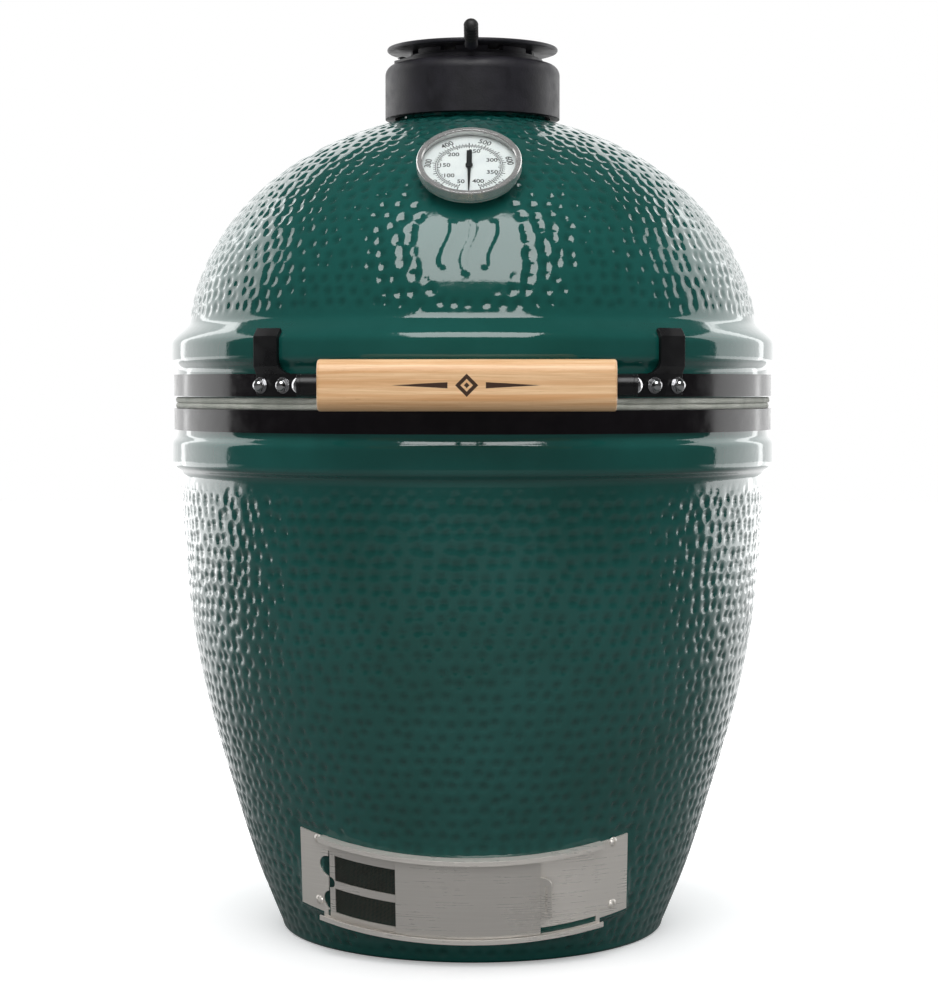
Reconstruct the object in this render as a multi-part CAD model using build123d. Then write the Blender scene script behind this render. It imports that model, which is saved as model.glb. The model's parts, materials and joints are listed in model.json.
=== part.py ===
from build123d import *
import math
import os

# A ceramic kamado grill: an egg-shaped body in two glazed shells, joined by a sprung hinge at the
# back. Millimetres. +Z is up, the front faces -Y, and the origin is the centre of the flat foot.
# Angles round the body are in degrees from the front (-Y), positive towards +X.

# ---- Driving dimensions ------------------------------------------------------------------------
RIM_RADIUS = 273.0  # widest part of both shells
SEAT_RADIUS = 268.0  # ceramic under the steel bands
WALL = 24.5  # wall of the base
RUN = 0.05  # radial clearance of a pin in its bore

FOOT_RADIUS = 174.0
BELLY = [(174, 4), (194, 54), (216.5, 124), (241.5, 212), (257, 300), (262.5, 364), (264.5, 411)]
FLOOR_Z = 28.0
BASE_TOP_Z = 471.0
SEAM_Z = 476.0
LID_BOTTOM_Z = 481.0
RIM_INNER_RADIUS = 244.0

DOME_CENTRE_Z = 527.0
DOME_OUTER = (257.5, 210.0)  # half-axes of the dome's outer ellipse
DOME_INNER = (235.0, 188.0)
NECK_RADIUS = 66.0
CHIMNEY_RADIUS = 50.0
NECK_TOP_Z = 768.0

BAND_THICKNESS = 2.0
BAND_WIDTH = 19.0
BAND_INNER = SEAT_RADIUS + 0.2
BAND_OUTER = BAND_INNER + BAND_THICKNESS
LOWER_BAND_Z = 452.0
UPPER_BAND_Z = 482.0
BAND_EAR_X = 7.5  # half the gap between a band's two front ears
LOWER_CLAMP_ANGLE = 146.0  # the lower band is clamped at the rear, the upper one behind the handle
BAND_EAR_LENGTH = 17.5
BAND_BOLT_Y = -(BAND_OUTER + 9.5)

BRACKET_THICKNESS = 3.0
BRACKET_BOLT_ANGLES = (33.7, 38.8)
BRACKET_ANGLE = 36.5  # the middle of a handle bracket
HANDLE_LENGTH = 235.0
HANDLE_DEPTH = 34.0
HANDLE_HEIGHT = 41.0
HANDLE_Y = -308.0
HANDLE_Z = UPPER_BAND_Z + BAND_WIDTH / 2
FLANGE_X = 131.0

HINGE_Y = 298.0
HINGE_Z = SEAM_Z
HINGE_PIN_RADIUS = 4.95
LEVER_LENGTH = 45.0
LID_TRAVEL = 75.0  # degrees that the lid opens
SPRING_LENGTH = 152.4
UPPER_CHEEK_X = 46.0
LOWER_CHEEK_X = 52.0
CHEEK_THICKNESS = 4.0
SPRING_X = 24.0
SPRING_PIN_RADIUS = 4.0
SPRING_RADIUS = 9.0
SPRING_WIRE = 1.6

VENT_AXIS_Z = 123.0  # the draft door's frame is a cylinder round a tilted axis through here
VENT_TILT = 17.0
VENT_SEAT_RADIUS = 208.0
VENT_SHEET = 1.2
VENT_FRAME = (-44.0, 40.0)  # ends of each piece in degrees from the front, (low, high) in mm
VENT_FLANGE_HALF = 36.0
VENT_RAIL = (-36.8, 32.0)
VENT_RAIL_HEIGHTS = (-41.5, 37.0)
VENT_LIP = 4.4
VENT_SLOT = (-35.6, 31.0, -38.6, -32.8)
VENT_WINDOW = (-35.2, -3.4, -32.9, 24.0)
SHELL_WINDOW = (-36.9, -3.4, -31.0, 25.0)
ASH_PORT = (-37.2, -1.4, -27.0, 27.0)
VENT_SCREWS = [(-38.1, 32.3), (-38.1, -26.2), (35.5, 33.2), (35.5, -26.2)]
SCREEN = (-34.5, -0.6, -37.6, 35.5)
SCREEN_MESH = (-33.0, -5.0)
SCREEN_WINDOWS = ((-1.7, 22.3), (-32.2, -9.0))
DOOR = (-17.0, 16.4, -40.0, 35.5)

THERMOMETER_TILT = 46.0  # elevation of the dial's axis
THERMOMETER_RADIUS = 193.5  # where that axis meets the dome, from the body's axis

COLLAR_RADIUS = 79.0
COLLAR_Z = 732.0
COLLAR_TOP_Z = 781.0
COLLAR_BORE = 46.0
DAMPER_PIVOT_X = -63.5
DAMPER_RADIUS = 63.5
RAIN_CAP_RADIUS = 77.2
RAIN_CAP_Z = 792.4
GRIP_TILT = 30.0
GRIP_LENGTH = 23.0

FIRE_BOX_TOP_Z = 330.0
FIRE_RING_TOP_Z = 418.0
GRATE_SEAT_Z = 119.8
GRID_RADIUS = 227.5

BOTTOM = (Align.CENTER, Align.CENTER, Align.MIN)


# ---- Shape helpers -----------------------------------------------------------------------------
def turned(*edges):
    """A solid of revolution about Z from closed edges drawn as (radius, height)."""
    return revolve(Plane.XZ * make_face(list(edges)), Axis.Z)


def turned_polygon(*points):
    """A solid of revolution about Z from the corners of a closed (radius, height) outline."""
    return turned(Polyline(*points, close=True))


def tube(inner, outer, low, high):
    """A plain ring between two heights."""
    ring = Cylinder(outer, high - low, align=BOTTOM) - Cylinder(inner, high - low, align=BOTTOM)
    return Pos(0, 0, low) * ring


def sector(inner, outer, start, stop):
    """A flat piece of a ring between two angles."""
    far = CenterArc((0, 0), outer, start - 90, stop - start)
    near = CenterArc((0, 0), inner, start - 90, stop - start)
    return make_face([far, near, Line(far @ 0, near @ 0), Line(far @ 1, near @ 1)])


def arc_block(inner, outer, start, stop, low, high):
    """A curved block: a sector raised between two heights."""
    return extrude(Pos(0, 0, low) * sector(inner, outer, start, stop), high - low, dir=(0, 0, 1))


def rod(radius, start, end):
    """A round bar from one point to another."""
    way = Vector(*end) - Vector(*start)
    return Plane(origin=start, z_dir=way) * Cylinder(radius, way.length, align=BOTTOM)


def slab(x_low, x_high, y_low, y_high, z_low, z_high):
    """A box from its limits."""
    block = Box(x_high - x_low, y_high - y_low, z_high - z_low, align=(Align.MIN,) * 3)
    return Pos(x_low, y_low, z_low) * block


def plate(face, x_low, thickness):
    """A plate parallel to the YZ plane from a face drawn as (y, z)."""
    return Pos(x_low, 0, 0) * extrude(Plane.YZ * face, thickness, dir=(1, 0, 0))


def disc_at(y, z, radius):
    """A circle face in (y, z) coordinates."""
    return Pos(y, z) * Circle(radius)


def mirrored(shape):
    """The same shape on the other side of the body."""
    return mirror(shape, about=Plane.YZ)


def nut(radius, height, bore):
    """A hexagon nut, standing on its face."""
    return extrude(RegularPolygon(radius, 6), height) - Cylinder(bore, height, align=BOTTOM)


def dome(radius, height):
    """A low round bolt head, standing on its face."""
    ball = (radius * radius + height * height) / (2 * height)
    return Pos(0, 0, height - ball) * Sphere(ball) & Cylinder(radius, height, align=BOTTOM)


def group(*shapes):
    """Separate solids that share one node."""
    return Compound(children=[solid for shape in shapes for solid in shape.solids()])


def radial(angle, height):
    """A frame on the body's axis whose Z points outwards at that angle."""
    a = math.radians(angle)
    return Plane(origin=(0, 0, height), x_dir=(math.cos(a), math.sin(a), 0),
                 z_dir=(math.sin(a), -math.cos(a), 0))


def dome_point(half_axes, angle):
    """The point of the dome's ellipse at a parameter angle, as (radius, height)."""
    a = math.radians(angle)
    return half_axes[0] * math.cos(a), DOME_CENTRE_Z + half_axes[1] * math.sin(a)


def dome_arc(half_axes, start, end):
    """The dome's ellipse between two parameter angles, through evenly spaced points."""
    steps = 8
    return Spline([dome_point(half_axes, start + (end - start) * i / steps) for i in range(steps + 1)])


# ---- Frames of the tilted parts ----------------------------------------------------------------
VENT = Pos(0, 0, VENT_AXIS_Z) * Rot(VENT_TILT, 0, 0)

dial_angle = math.radians(THERMOMETER_TILT)
dome_share = THERMOMETER_RADIUS / DOME_OUTER[0]
dial_z = DOME_CENTRE_Z + DOME_OUTER[1] * math.sqrt(1 - dome_share**2)
DIAL = Plane(origin=(0, -THERMOMETER_RADIUS, dial_z), x_dir=(1, 0, 0),
             z_dir=(0, -math.cos(dial_angle), math.sin(dial_angle)))

lever_angle = math.radians(LID_TRAVEL / 2)
LEVER_Y = HINGE_Y + LEVER_LENGTH * math.cos(lever_angle)
LEVER_Z = HINGE_Z + LEVER_LENGTH * math.sin(lever_angle)
ANCHOR_Z = LEVER_Z - SPRING_LENGTH


# ---- Ceramic shells ----------------------------------------------------------------------------
def base_shell():
    """The lower shell, with the seat and the opening for the draft door."""
    inner = [(r - WALL, z) for r, z in BELLY[1:]]
    shell = turned(
        Line((0, 0), (FOOT_RADIUS - 4, 0)),
        ThreePointArc((FOOT_RADIUS - 4, 0), (FOOT_RADIUS - 1.2, 1.2), BELLY[0]),
        Spline(BELLY, tangents=[(0.38, 1), (0.02, 1)]),
        Spline([BELLY[-1], (266.8, 415.5), (RIM_RADIUS, 423)], tangents=[(0.02, 1), (0, 1)]),
        Line((RIM_RADIUS, 423), (RIM_RADIUS, 438)),
        Spline([(RIM_RADIUS, 438), (271.2, 443.5), (SEAT_RADIUS, 449)], tangents=[(0, 1), (0, 1)]),
        Line((SEAT_RADIUS, 449), (SEAT_RADIUS, BASE_TOP_Z)),
        Line((SEAT_RADIUS, BASE_TOP_Z), (RIM_INNER_RADIUS, BASE_TOP_Z)),
        Line((RIM_INNER_RADIUS, BASE_TOP_Z), (RIM_INNER_RADIUS, 424)),
        Line((RIM_INNER_RADIUS, 424), inner[-1]),
        Spline(inner[::-1]),
        ThreePointArc(inner[0], (163, 36), (150, FLOOR_Z)),
        Line((150, FLOOR_Z), (0, FLOOR_Z)),
        Line((0, FLOOR_Z), (0, 0)),
    )
    low, high = VENT_RAIL_HEIGHTS
    seat = (VENT_FRAME[0] - 1.0, VENT_FRAME[1] + 1.0, low - 1.5, high + 1.5)
    shell += VENT * arc_block(195, VENT_SEAT_RADIUS, *seat)
    shell -= VENT * arc_block(VENT_SEAT_RADIUS, 240, *seat)
    shell -= VENT * arc_block(150, 240, *SHELL_WINDOW)
    for angle, height in VENT_SCREWS:
        shell -= VENT * (radial(angle, height) * Pos(0, 0, 195) * Cylinder(2.1, 20, align=BOTTOM))
    return shell


def lid_shell():
    """The dome, with its chimney neck and the hole and flat seat for the thermometer."""
    start = 7.0
    neck = math.degrees(math.acos(NECK_RADIUS / DOME_OUTER[0]))
    flue = math.degrees(math.acos(CHIMNEY_RADIUS / DOME_INNER[0]))
    shoulder = dome_point(DOME_OUTER, start)
    shell = turned(
        Line((RIM_INNER_RADIUS, LID_BOTTOM_Z), (SEAT_RADIUS, LID_BOTTOM_Z)),
        Line((SEAT_RADIUS, LID_BOTTOM_Z), (SEAT_RADIUS, 505)),
        Spline([(SEAT_RADIUS, 505), (270.8, 510), (RIM_RADIUS, 516)], tangents=[(0, 1), (0, 1)]),
        Line((RIM_RADIUS, 516), (RIM_RADIUS, 527)),
        Spline([(RIM_RADIUS, 527), (270.6, 533.5), (261.5, 542.5), shoulder],
               tangents=[(0, 1), (-0.12, 1)]),
        dome_arc(DOME_OUTER, start, neck),
        Line(dome_point(DOME_OUTER, neck), (NECK_RADIUS, NECK_TOP_Z)),
        Line((NECK_RADIUS, NECK_TOP_Z), (CHIMNEY_RADIUS, NECK_TOP_Z)),
        Line((CHIMNEY_RADIUS, NECK_TOP_Z), dome_point(DOME_INNER, flue)),
        dome_arc(DOME_INNER, flue, 0),
        Line(dome_point(DOME_INNER, 0), (RIM_INNER_RADIUS, 500)),
        Line((RIM_INNER_RADIUS, 500), (RIM_INNER_RADIUS, LID_BOTTOM_Z)),
    )
    shell -= DIAL * Pos(0, 0, -40) * Cylinder(7, 60, align=BOTTOM)
    shell -= DIAL * Pos(0, 0, -0.8) * Cylinder(14.5, 8, align=BOTTOM)
    return shell


# ---- Bands and gaskets -------------------------------------------------------------------------
def gasket(low, high):
    """A felt ring stuck to a shell's rim."""
    return tube(RIM_INNER_RADIUS + 2, SEAT_RADIUS + 0.5, low, high)


def band(low, stud_angles, clamp_angle):
    """A steel strap round the rim, split at its clamp, with two ears and the studs' holes."""
    high = low + BAND_WIDTH
    gap = math.degrees(math.asin((BAND_EAR_X + 0.5) / BAND_INNER))
    strap = arc_block(BAND_INNER, BAND_OUTER, gap, 360 - gap, low, high)
    ear_y = math.sqrt(BAND_INNER**2 - BAND_EAR_X**2)
    ear = slab(BAND_EAR_X, BAND_EAR_X + BAND_THICKNESS, -BAND_INNER - BAND_EAR_LENGTH, -ear_y, low, high)
    ear -= rod(3.2, (0, BAND_BOLT_Y, low + BAND_WIDTH / 2), (20, BAND_BOLT_Y, low + BAND_WIDTH / 2))
    strap = Rot(0, 0, clamp_angle) * (strap + ear + mirrored(ear))
    for angle in stud_angles:
        strap -= radial(angle, low + BAND_WIDTH / 2) * Pos(0, 0, 260) * Cylinder(3.1, 20, align=BOTTOM)
    return strap


def clamp_bolt(low, clamp_angle):
    """The bolt and nut that draw a band's ears together."""
    z = low + BAND_WIDTH / 2
    outside = BAND_EAR_X + BAND_THICKNESS
    shank = rod(3, (-outside - 0.1, BAND_BOLT_Y, z), (outside + 8, BAND_BOLT_Y, z))
    along = Plane(origin=(0, BAND_BOLT_Y, z), z_dir=(1, 0, 0))
    head = along * Pos(0, 0, -outside - 4.1) * extrude(RegularPolygon(5.6, 6), 4)
    clamp_nut = along * Pos(0, 0, outside + 0.1) * nut(5.6, 5, 3.05)
    return Rot(0, 0, clamp_angle) * group(head + shank, clamp_nut)


def studs(angles, height, length):
    """Weld studs that stand out of a band, flush with its inside."""
    return group(*[radial(a, height) * Pos(0, 0, BAND_INNER + 0.2) * Cylinder(3, length, align=BOTTOM)
                   for a in angles])


def dome_nuts(angles, height, outside, bore):
    """Round-headed nuts and their washers on a band's studs."""
    washer = Cylinder(6.8, 1.2, align=BOTTOM) - Cylinder(3.2, 1.2, align=BOTTOM)
    skirt = extrude(RegularPolygon(5.8, 6), 3)
    cap = Pos(0, 0, 1.3) * (skirt + Pos(0, 0, 3) * dome(4.9, 4.2) - Cylinder(3.05, bore, align=BOTTOM))
    return group(*[radial(a, height) * Pos(0, 0, outside) * part for a in angles for part in (washer, cap)])


# ---- Handle ------------------------------------------------------------------------------------
def handle_bracket():
    """The right-hand bracket: a plate on the band, a hook over the lid's rim and a flange forward."""
    inside = BAND_OUTER + 0.1
    outside = inside + BRACKET_THICKNESS
    clear = RIM_RADIUS + 0.6
    skin = turned_polygon(
        (inside, UPPER_BAND_Z + 1), (outside, UPPER_BAND_Z + 1), (outside, 501),
        (clear + 3, 507), (clear + 3, 532), (272.0, 538.6), (269.8, 536.4), (clear, 530.4),
        (clear, 507.8), (inside, 502),
    )
    outline = Polyline((-34, UPPER_BAND_Z + 1), (17.5, UPPER_BAND_Z + 1), (17.5, 546), (-8.5, 546),
                       (-8.5, 501), (-34, 501), close=True)
    face = make_face(outline)
    inner_corner = face.vertices().sort_by_distance((-8.5, 501, 0))[0]
    face = fillet(inner_corner, 11)
    lower_corner = face.vertices().sort_by_distance((17.5, UPPER_BAND_Z + 1, 0))[0]
    face = fillet(lower_corner, 3)
    a = math.radians(BRACKET_ANGLE)
    tangent = Plane(origin=(0, 0, 0), x_dir=(math.cos(a), math.sin(a), 0),
                    z_dir=(math.sin(a), -math.cos(a), 0))
    body = skin & extrude(tangent * face, 320, dir=tangent.z_dir)
    tip = Pos(HANDLE_Y, HANDLE_Z) * Circle(8.75)
    bar = Pos((HANDLE_Y - 236) / 2, HANDLE_Z) * Rectangle(-236 - HANDLE_Y, 17.5)
    flange = plate(tip + bar, FLANGE_X, BRACKET_THICKNESS) - Cylinder(inside, 1200)
    body += flange
    body -= rod(3.1, (FLANGE_X - 5, HANDLE_Y, HANDLE_Z), (FLANGE_X + 10, HANDLE_Y, HANDLE_Z))
    for angle in BRACKET_BOLT_ANGLES:
        body -= radial(angle, HANDLE_Z) * Pos(0, 0, 260) * Cylinder(3.2, 20, align=BOTTOM)
    return body


def handle_bar():
    """The wooden grip, bored at both ends for its bolts."""
    bar = Box(HANDLE_LENGTH, HANDLE_DEPTH, HANDLE_HEIGHT)
    bar = fillet(bar.edges().filter_by(Axis.X), 12)
    bar = fillet(bar.faces().sort_by(Axis.X)[0].edges() + bar.faces().sort_by(Axis.X)[-1].edges(), 2.2)
    bar = Pos(0, HANDLE_Y, HANDLE_Z) * bar
    bore = rod(3.1, (HANDLE_LENGTH / 2 - 42, HANDLE_Y, HANDLE_Z), (HANDLE_LENGTH / 2 + 1, HANDLE_Y, HANDLE_Z))
    return bar - bore - mirrored(bore)


def handle_spacers():
    """The short tubes between the wood and the bracket flanges."""
    end = HANDLE_LENGTH / 2
    spacer = rod(9, (end + 0.1, HANDLE_Y, HANDLE_Z), (FLANGE_X - 0.1, HANDLE_Y, HANDLE_Z))
    spacer -= rod(3.2, (end, HANDLE_Y, HANDLE_Z), (FLANGE_X, HANDLE_Y, HANDLE_Z))
    return group(spacer, mirrored(spacer))


def handle_bolts():
    """The bolts that hold the wooden grip to its brackets."""
    outside = FLANGE_X + BRACKET_THICKNESS + 0.1
    shank = rod(3, (HANDLE_LENGTH / 2 - 40, HANDLE_Y, HANDLE_Z), (outside, HANDLE_Y, HANDLE_Z))
    head = Plane(origin=(outside, HANDLE_Y, HANDLE_Z), z_dir=(1, 0, 0)) * dome(6.5, 4)
    bolt = shank + head
    return group(bolt, mirrored(bolt))


# ---- Hinge -------------------------------------------------------------------------------------
def hinge_plate(low):
    """The part of a hinge bracket that lies on its band."""
    skin = arc_block(BAND_OUTER + 0.1, BAND_OUTER + 0.1 + BRACKET_THICKNESS, 167, 193, low, low + 17)
    for angle in HINGE_BOLT_ANGLES:
        skin -= radial(angle, low + 8.5) * Pos(0, 0, 260) * Cylinder(3.2, 20, align=BOTTOM)
    return skin


HINGE_BOLT_ANGLES = (174, 186)


def upper_hinge_bracket():
    """Carries the lid on the pivot; its two cheeks reach past the pivot as the springs' lever."""
    low = UPPER_BAND_Z + 1
    root = Pos(267, low + 8.5) * Rectangle(10, 15)
    outline = make_hull((root + disc_at(HINGE_Y, HINGE_Z, 11) + disc_at(LEVER_Y, LEVER_Z, 9)).edges())
    outline -= disc_at(HINGE_Y, HINGE_Z, HINGE_PIN_RADIUS + RUN)
    outline -= disc_at(LEVER_Y, LEVER_Z, SPRING_PIN_RADIUS + RUN)
    cheek = plate(outline, UPPER_CHEEK_X, CHEEK_THICKNESS)
    cheeks = (cheek + mirrored(cheek)) - Pos(0, 0, HINGE_Z) * Cylinder(BAND_OUTER + 0.1, 200)
    return hinge_plate(low) + cheeks


def lower_hinge_bracket():
    """Carries the pivot on the base and reaches down to the springs' anchor pin."""
    low = LOWER_BAND_Z + 1
    root = Pos(267, low + 8.5) * Rectangle(10, 15)
    ear = make_hull((root + disc_at(HINGE_Y, HINGE_Z, 13)).edges())
    arm = make_hull((disc_at(HINGE_Y, HINGE_Z, 12) + disc_at(LEVER_Y, ANCHOR_Z, 10)
                     + Pos(283, 438) * Rectangle(10, 30)).edges())
    outline = ear + arm
    outline -= disc_at(HINGE_Y, HINGE_Z, HINGE_PIN_RADIUS + RUN)
    outline -= disc_at(LEVER_Y, ANCHOR_Z, SPRING_PIN_RADIUS + RUN)
    cheek = plate(outline, LOWER_CHEEK_X, CHEEK_THICKNESS)
    cheeks = (cheek + mirrored(cheek)) - Pos(0, 0, HINGE_Z) * Cylinder(BAND_OUTER + 0.1, 300)
    cheeks -= Pos(0, 0, 300) * Cylinder(RIM_RADIUS + 1.5, 151, align=BOTTOM)
    web = slab(-LOWER_CHEEK_X - 1, LOWER_CHEEK_X + 1, 286, 289, 385, 440)
    return hinge_plate(low) + cheeks + web


def hinge_pivot_bolt():
    """The long bolt that the lid turns on."""
    end = LOWER_CHEEK_X + CHEEK_THICKNESS + 0.1
    shank = rod(HINGE_PIN_RADIUS, (-end, HINGE_Y, HINGE_Z), (end + 10, HINGE_Y, HINGE_Z))
    head = Plane(origin=(-end - 6, HINGE_Y, HINGE_Z), z_dir=(1, 0, 0)) * extrude(RegularPolygon(9, 6), 6)
    return head + shank


def hinge_pivot_nut():
    """The locking nut on the pivot bolt."""
    end = LOWER_CHEEK_X + CHEEK_THICKNESS + 0.1
    return Plane(origin=(end, HINGE_Y, HINGE_Z), z_dir=(1, 0, 0)) * nut(9, 8, HINGE_PIN_RADIUS + RUN)


def hinge_sleeve():
    """The tube round the pivot bolt that holds the lid's two cheeks apart."""
    half = UPPER_CHEEK_X - 0.1
    start, end = (-half, HINGE_Y, HINGE_Z), (half, HINGE_Y, HINGE_Z)
    return rod(8, start, end) - rod(HINGE_PIN_RADIUS + RUN, start, end)


def spring_lever_pin():
    """The cross pin on the lid's lever that the springs hook over."""
    half = UPPER_CHEEK_X + CHEEK_THICKNESS + 1.2
    return rod(SPRING_PIN_RADIUS, (-half, LEVER_Y, LEVER_Z), (half, LEVER_Y, LEVER_Z))


def spring_anchor_pin():
    """The cross pin on the base that the springs' lower ends hook over, with a head at each end."""
    half = LOWER_CHEEK_X + CHEEK_THICKNESS + 0.1
    pin = rod(SPRING_PIN_RADIUS, (-half, LEVER_Y, ANCHOR_Z), (half, LEVER_Y, ANCHOR_Z))
    head = rod(6.5, (half, LEVER_Y, ANCHOR_Z), (half + 3, LEVER_Y, ANCHOR_Z))
    return pin + head + mirrored(head)


def hinge_spring():
    """A tension spring, stretched as it is with the lid shut: a coil with a loop at each end."""
    loop = SPRING_PIN_RADIUS + SPRING_WIRE + 0.3
    neck = loop + SPRING_WIRE
    turns = 12
    height = SPRING_LENGTH - 2 * neck
    coil_path = Helix(height / turns, height, SPRING_RADIUS)
    wire = Plane(origin=coil_path @ 0, z_dir=coil_path % 0) * Circle(SPRING_WIRE)
    spring = Pos(0, 0, neck) * sweep(wire, coil_path, is_frenet=True)
    for end, side in ((0, 1), (SPRING_LENGTH, -1)):
        start = end + side * neck
        leg = rod(SPRING_WIRE, (0, 0, start), (SPRING_RADIUS, 0, start))
        leg += Pos(SPRING_RADIUS, 0, start) * Sphere(SPRING_WIRE)
        spring += Pos(0, 0, end) * Rot(0, 90, 0) * Torus(loop, SPRING_WIRE)
        spring += leg
    return Pos(0, LEVER_Y, ANCHOR_Z) * spring


# ---- Draft door --------------------------------------------------------------------------------
def vent_frame():
    """A rolled sheet with flanges, a window and a folded rail along its top and bottom edges."""
    back, front = VENT_SEAT_RADIUS + 0.1, VENT_SEAT_RADIUS + 0.1 + VENT_SHEET
    lip = front + 4.9
    frame = arc_block(back, front, *VENT_FRAME, -VENT_FLANGE_HALF, VENT_FLANGE_HALF)
    frame += arc_block(back, front, *VENT_RAIL, *VENT_RAIL_HEIGHTS)
    for edge, inward in zip(VENT_RAIL_HEIGHTS, (1, -1)):
        wall = sorted((edge, edge + inward * VENT_SHEET))
        fold = sorted((edge, edge + inward * VENT_LIP))
        frame += arc_block(back, lip + VENT_SHEET, *VENT_RAIL, *wall)
        frame += arc_block(lip, lip + VENT_SHEET, *VENT_RAIL, *fold)
    frame -= arc_block(190, 212, *VENT_WINDOW)
    frame -= arc_block(190, 212, *VENT_SLOT)
    for angle, height in ((-35.2, 9.2), (-34.2, -23.0)):
        frame -= radial(angle, height) * Pos(0, 0, 200) * Cylinder(9.5, 12, align=BOTTOM)
    for angle, height in VENT_SCREWS:
        frame -= radial(angle, height) * Pos(0, 0, 200) * Cylinder(2.2, 20, align=BOTTOM)
    return VENT * frame


def vent_screws():
    """Round-headed screws that hold the frame to the shell."""
    head = dome(4.3, 2.6) - Pos(0, 0, 1.6) * Box(1, 5.6, 2, align=BOTTOM)
    screw = head + Pos(0, 0, -12) * Cylinder(2, 12.2, align=BOTTOM)
    seat = VENT_SEAT_RADIUS + 0.2 + VENT_SHEET
    return group(*[VENT * (radial(a, h) * Pos(0, 0, seat) * screw) for a, h in VENT_SCREWS])


def screen_panel():
    """The inner slide: a frame with two windows and a finger notch in its end."""
    back = VENT_SEAT_RADIUS + 0.1 + VENT_SHEET + 0.4
    panel = arc_block(back, back + 1, *SCREEN)
    for window in SCREEN_WINDOWS:
        panel -= arc_block(back - 5, back + 5, *SCREEN_MESH, *window)
    panel -= radial(SCREEN[0], -4.5) * Pos(0, 0, back - 5) * Cylinder(5.2, 10, align=BOTTOM)
    return VENT * panel


def screen_mesh():
    """The woven steel behind the inner slide's windows, as two thin sheets."""
    back = VENT_SEAT_RADIUS + 0.1 + VENT_SHEET + 0.6
    start, stop = SCREEN_MESH
    return VENT * group(*[arc_block(back, back + 0.6, start + 0.03, stop - 0.03, low + 0.1, high - 0.1)
                          for low, high in SCREEN_WINDOWS])


def door_panel():
    """The outer slide: a plain sheet with a bent finger tab at its right-hand end."""
    back = VENT_SEAT_RADIUS + 0.1 + VENT_SHEET + 2.4
    panel = arc_block(back, back + 1.2, *DOOR)
    tab = Box(13, 1.2, 38, align=(Align.MIN, Align.CENTER, Align.CENTER))
    tab = fillet(tab.edges().filter_by(Axis.Y).sort_by(Axis.X)[-2:], 5)
    tab -= Pos(8, 0, 0) * Box(2.6, 6, 26)
    end = Rot(0, 0, DOOR[1]) * Pos(-0.3, -back - 0.6, 0) * Rot(0, 0, -45)
    panel += end * Pos(-2, 0, -2) * tab - Cylinder(back, 100)
    return VENT * panel


# ---- Thermometer -------------------------------------------------------------------------------
def on_dial(shape):
    """Places a shape drawn on the thermometer's own axis."""
    return DIAL * shape


def thermometer_gasket():
    """The heat-proof washer under the thermometer."""
    return on_dial(tube(4.3, 13, -0.7, 1.7))


def thermometer_case():
    """The steel cup behind the dial, with the hexagon boss that its stem leaves by."""
    cup = Pos(0, 0, 5.2) * Cylinder(42, 8.7, align=BOTTOM) - Pos(0, 0, 6.2) * Cylinder(41, 9, align=BOTTOM)
    cup += Pos(0, 0, 1.8) * extrude(RegularPolygon(8.5, 6), 3.6)
    return on_dial(cup - Cylinder(3.05, 20))


def thermometer_stem():
    """The probe that reaches into the dome."""
    return on_dial(Pos(0, 0, -112) * Cylinder(3, 118, align=BOTTOM))


def thermometer_clip():
    """The nut that holds the stem from inside the dome."""
    return on_dial(Pos(0, 0, -27.5) * nut(10, 4, 3.1))


def thermometer_dial():
    """The dial plate."""
    return on_dial(tube(1.1, 40.8, 8.5, 9.3))


def thermometer_pointer():
    """The needle on its spindle, at rest pointing down."""
    blade = make_face(Polyline((-1.5, -2), (-0.4, -33), (0.4, -33), (1.5, -2), close=True))
    tail = Pos(0, 9.8) * Rectangle(4.4, 19)
    needle = extrude(blade + tail, 0.6)
    hub = Cylinder(3, 1.6, align=BOTTOM)
    spindle = Cylinder(1, 5.6, align=BOTTOM)
    return on_dial(Pos(0, 0, 10.6) * needle + Pos(0, 0, 10.2) * hub + Pos(0, 0, 6.4) * spindle)


def thermometer_lens():
    """The glass."""
    return on_dial(Pos(0, 0, 14) * Cylinder(41.9, 1.5, align=BOTTOM))


def thermometer_bezel():
    """The bright ring that holds the glass on."""
    ring = turned_polygon((42.1, 8), (43.3, 8), (43.6, 9), (43.6, 15.8), (42.8, 16.7), (39.6, 16.7),
                          (38.6, 15.6), (42.1, 15.6))
    return on_dial(ring)


# ---- Chimney cap -------------------------------------------------------------------------------
def cap_collar():
    """The cast ring that sits over the chimney neck."""
    shoulder = 10
    corner = COLLAR_RADIUS - shoulder
    mid = shoulder * math.sqrt(0.5)
    ring = turned(
        Line((70.4, COLLAR_Z), (COLLAR_RADIUS, COLLAR_Z)),
        Line((COLLAR_RADIUS, COLLAR_Z), (COLLAR_RADIUS, COLLAR_TOP_Z - shoulder)),
        ThreePointArc((COLLAR_RADIUS, COLLAR_TOP_Z - shoulder),
                      (corner + mid, COLLAR_TOP_Z - shoulder + mid), (corner, COLLAR_TOP_Z)),
        Line((corner, COLLAR_TOP_Z), (COLLAR_BORE, COLLAR_TOP_Z)),
        Line((COLLAR_BORE, COLLAR_TOP_Z), (COLLAR_BORE, 774.6)),
        Line((COLLAR_BORE, 774.6), (70.4, 774.6)),
        Line((70.4, 774.6), (70.4, COLLAR_Z)),
    )
    return ring - Pos(DAMPER_PIVOT_X, 0, COLLAR_TOP_Z) * Cylinder(3.05, 30)


def damper_pivot_bolt():
    """The upright bolt that the damper swings on, with its nut under the collar."""
    bolt = Cylinder(3, 18.3, align=BOTTOM)
    head = Pos(0, 0, 18.2) * dome(5, 2.6)
    return Pos(DAMPER_PIVOT_X, 0, 767.5 + 1) * group(bolt + head, Pos(0, 0, 0.3) * nut(5.6, 5.2, 3.04))


def slots(inner, outer):
    """The four kidney-shaped air slots, as faces."""
    return [sector(inner, outer, a - 22, a + 22) for a in (45, 135, 225, 315)]


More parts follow.
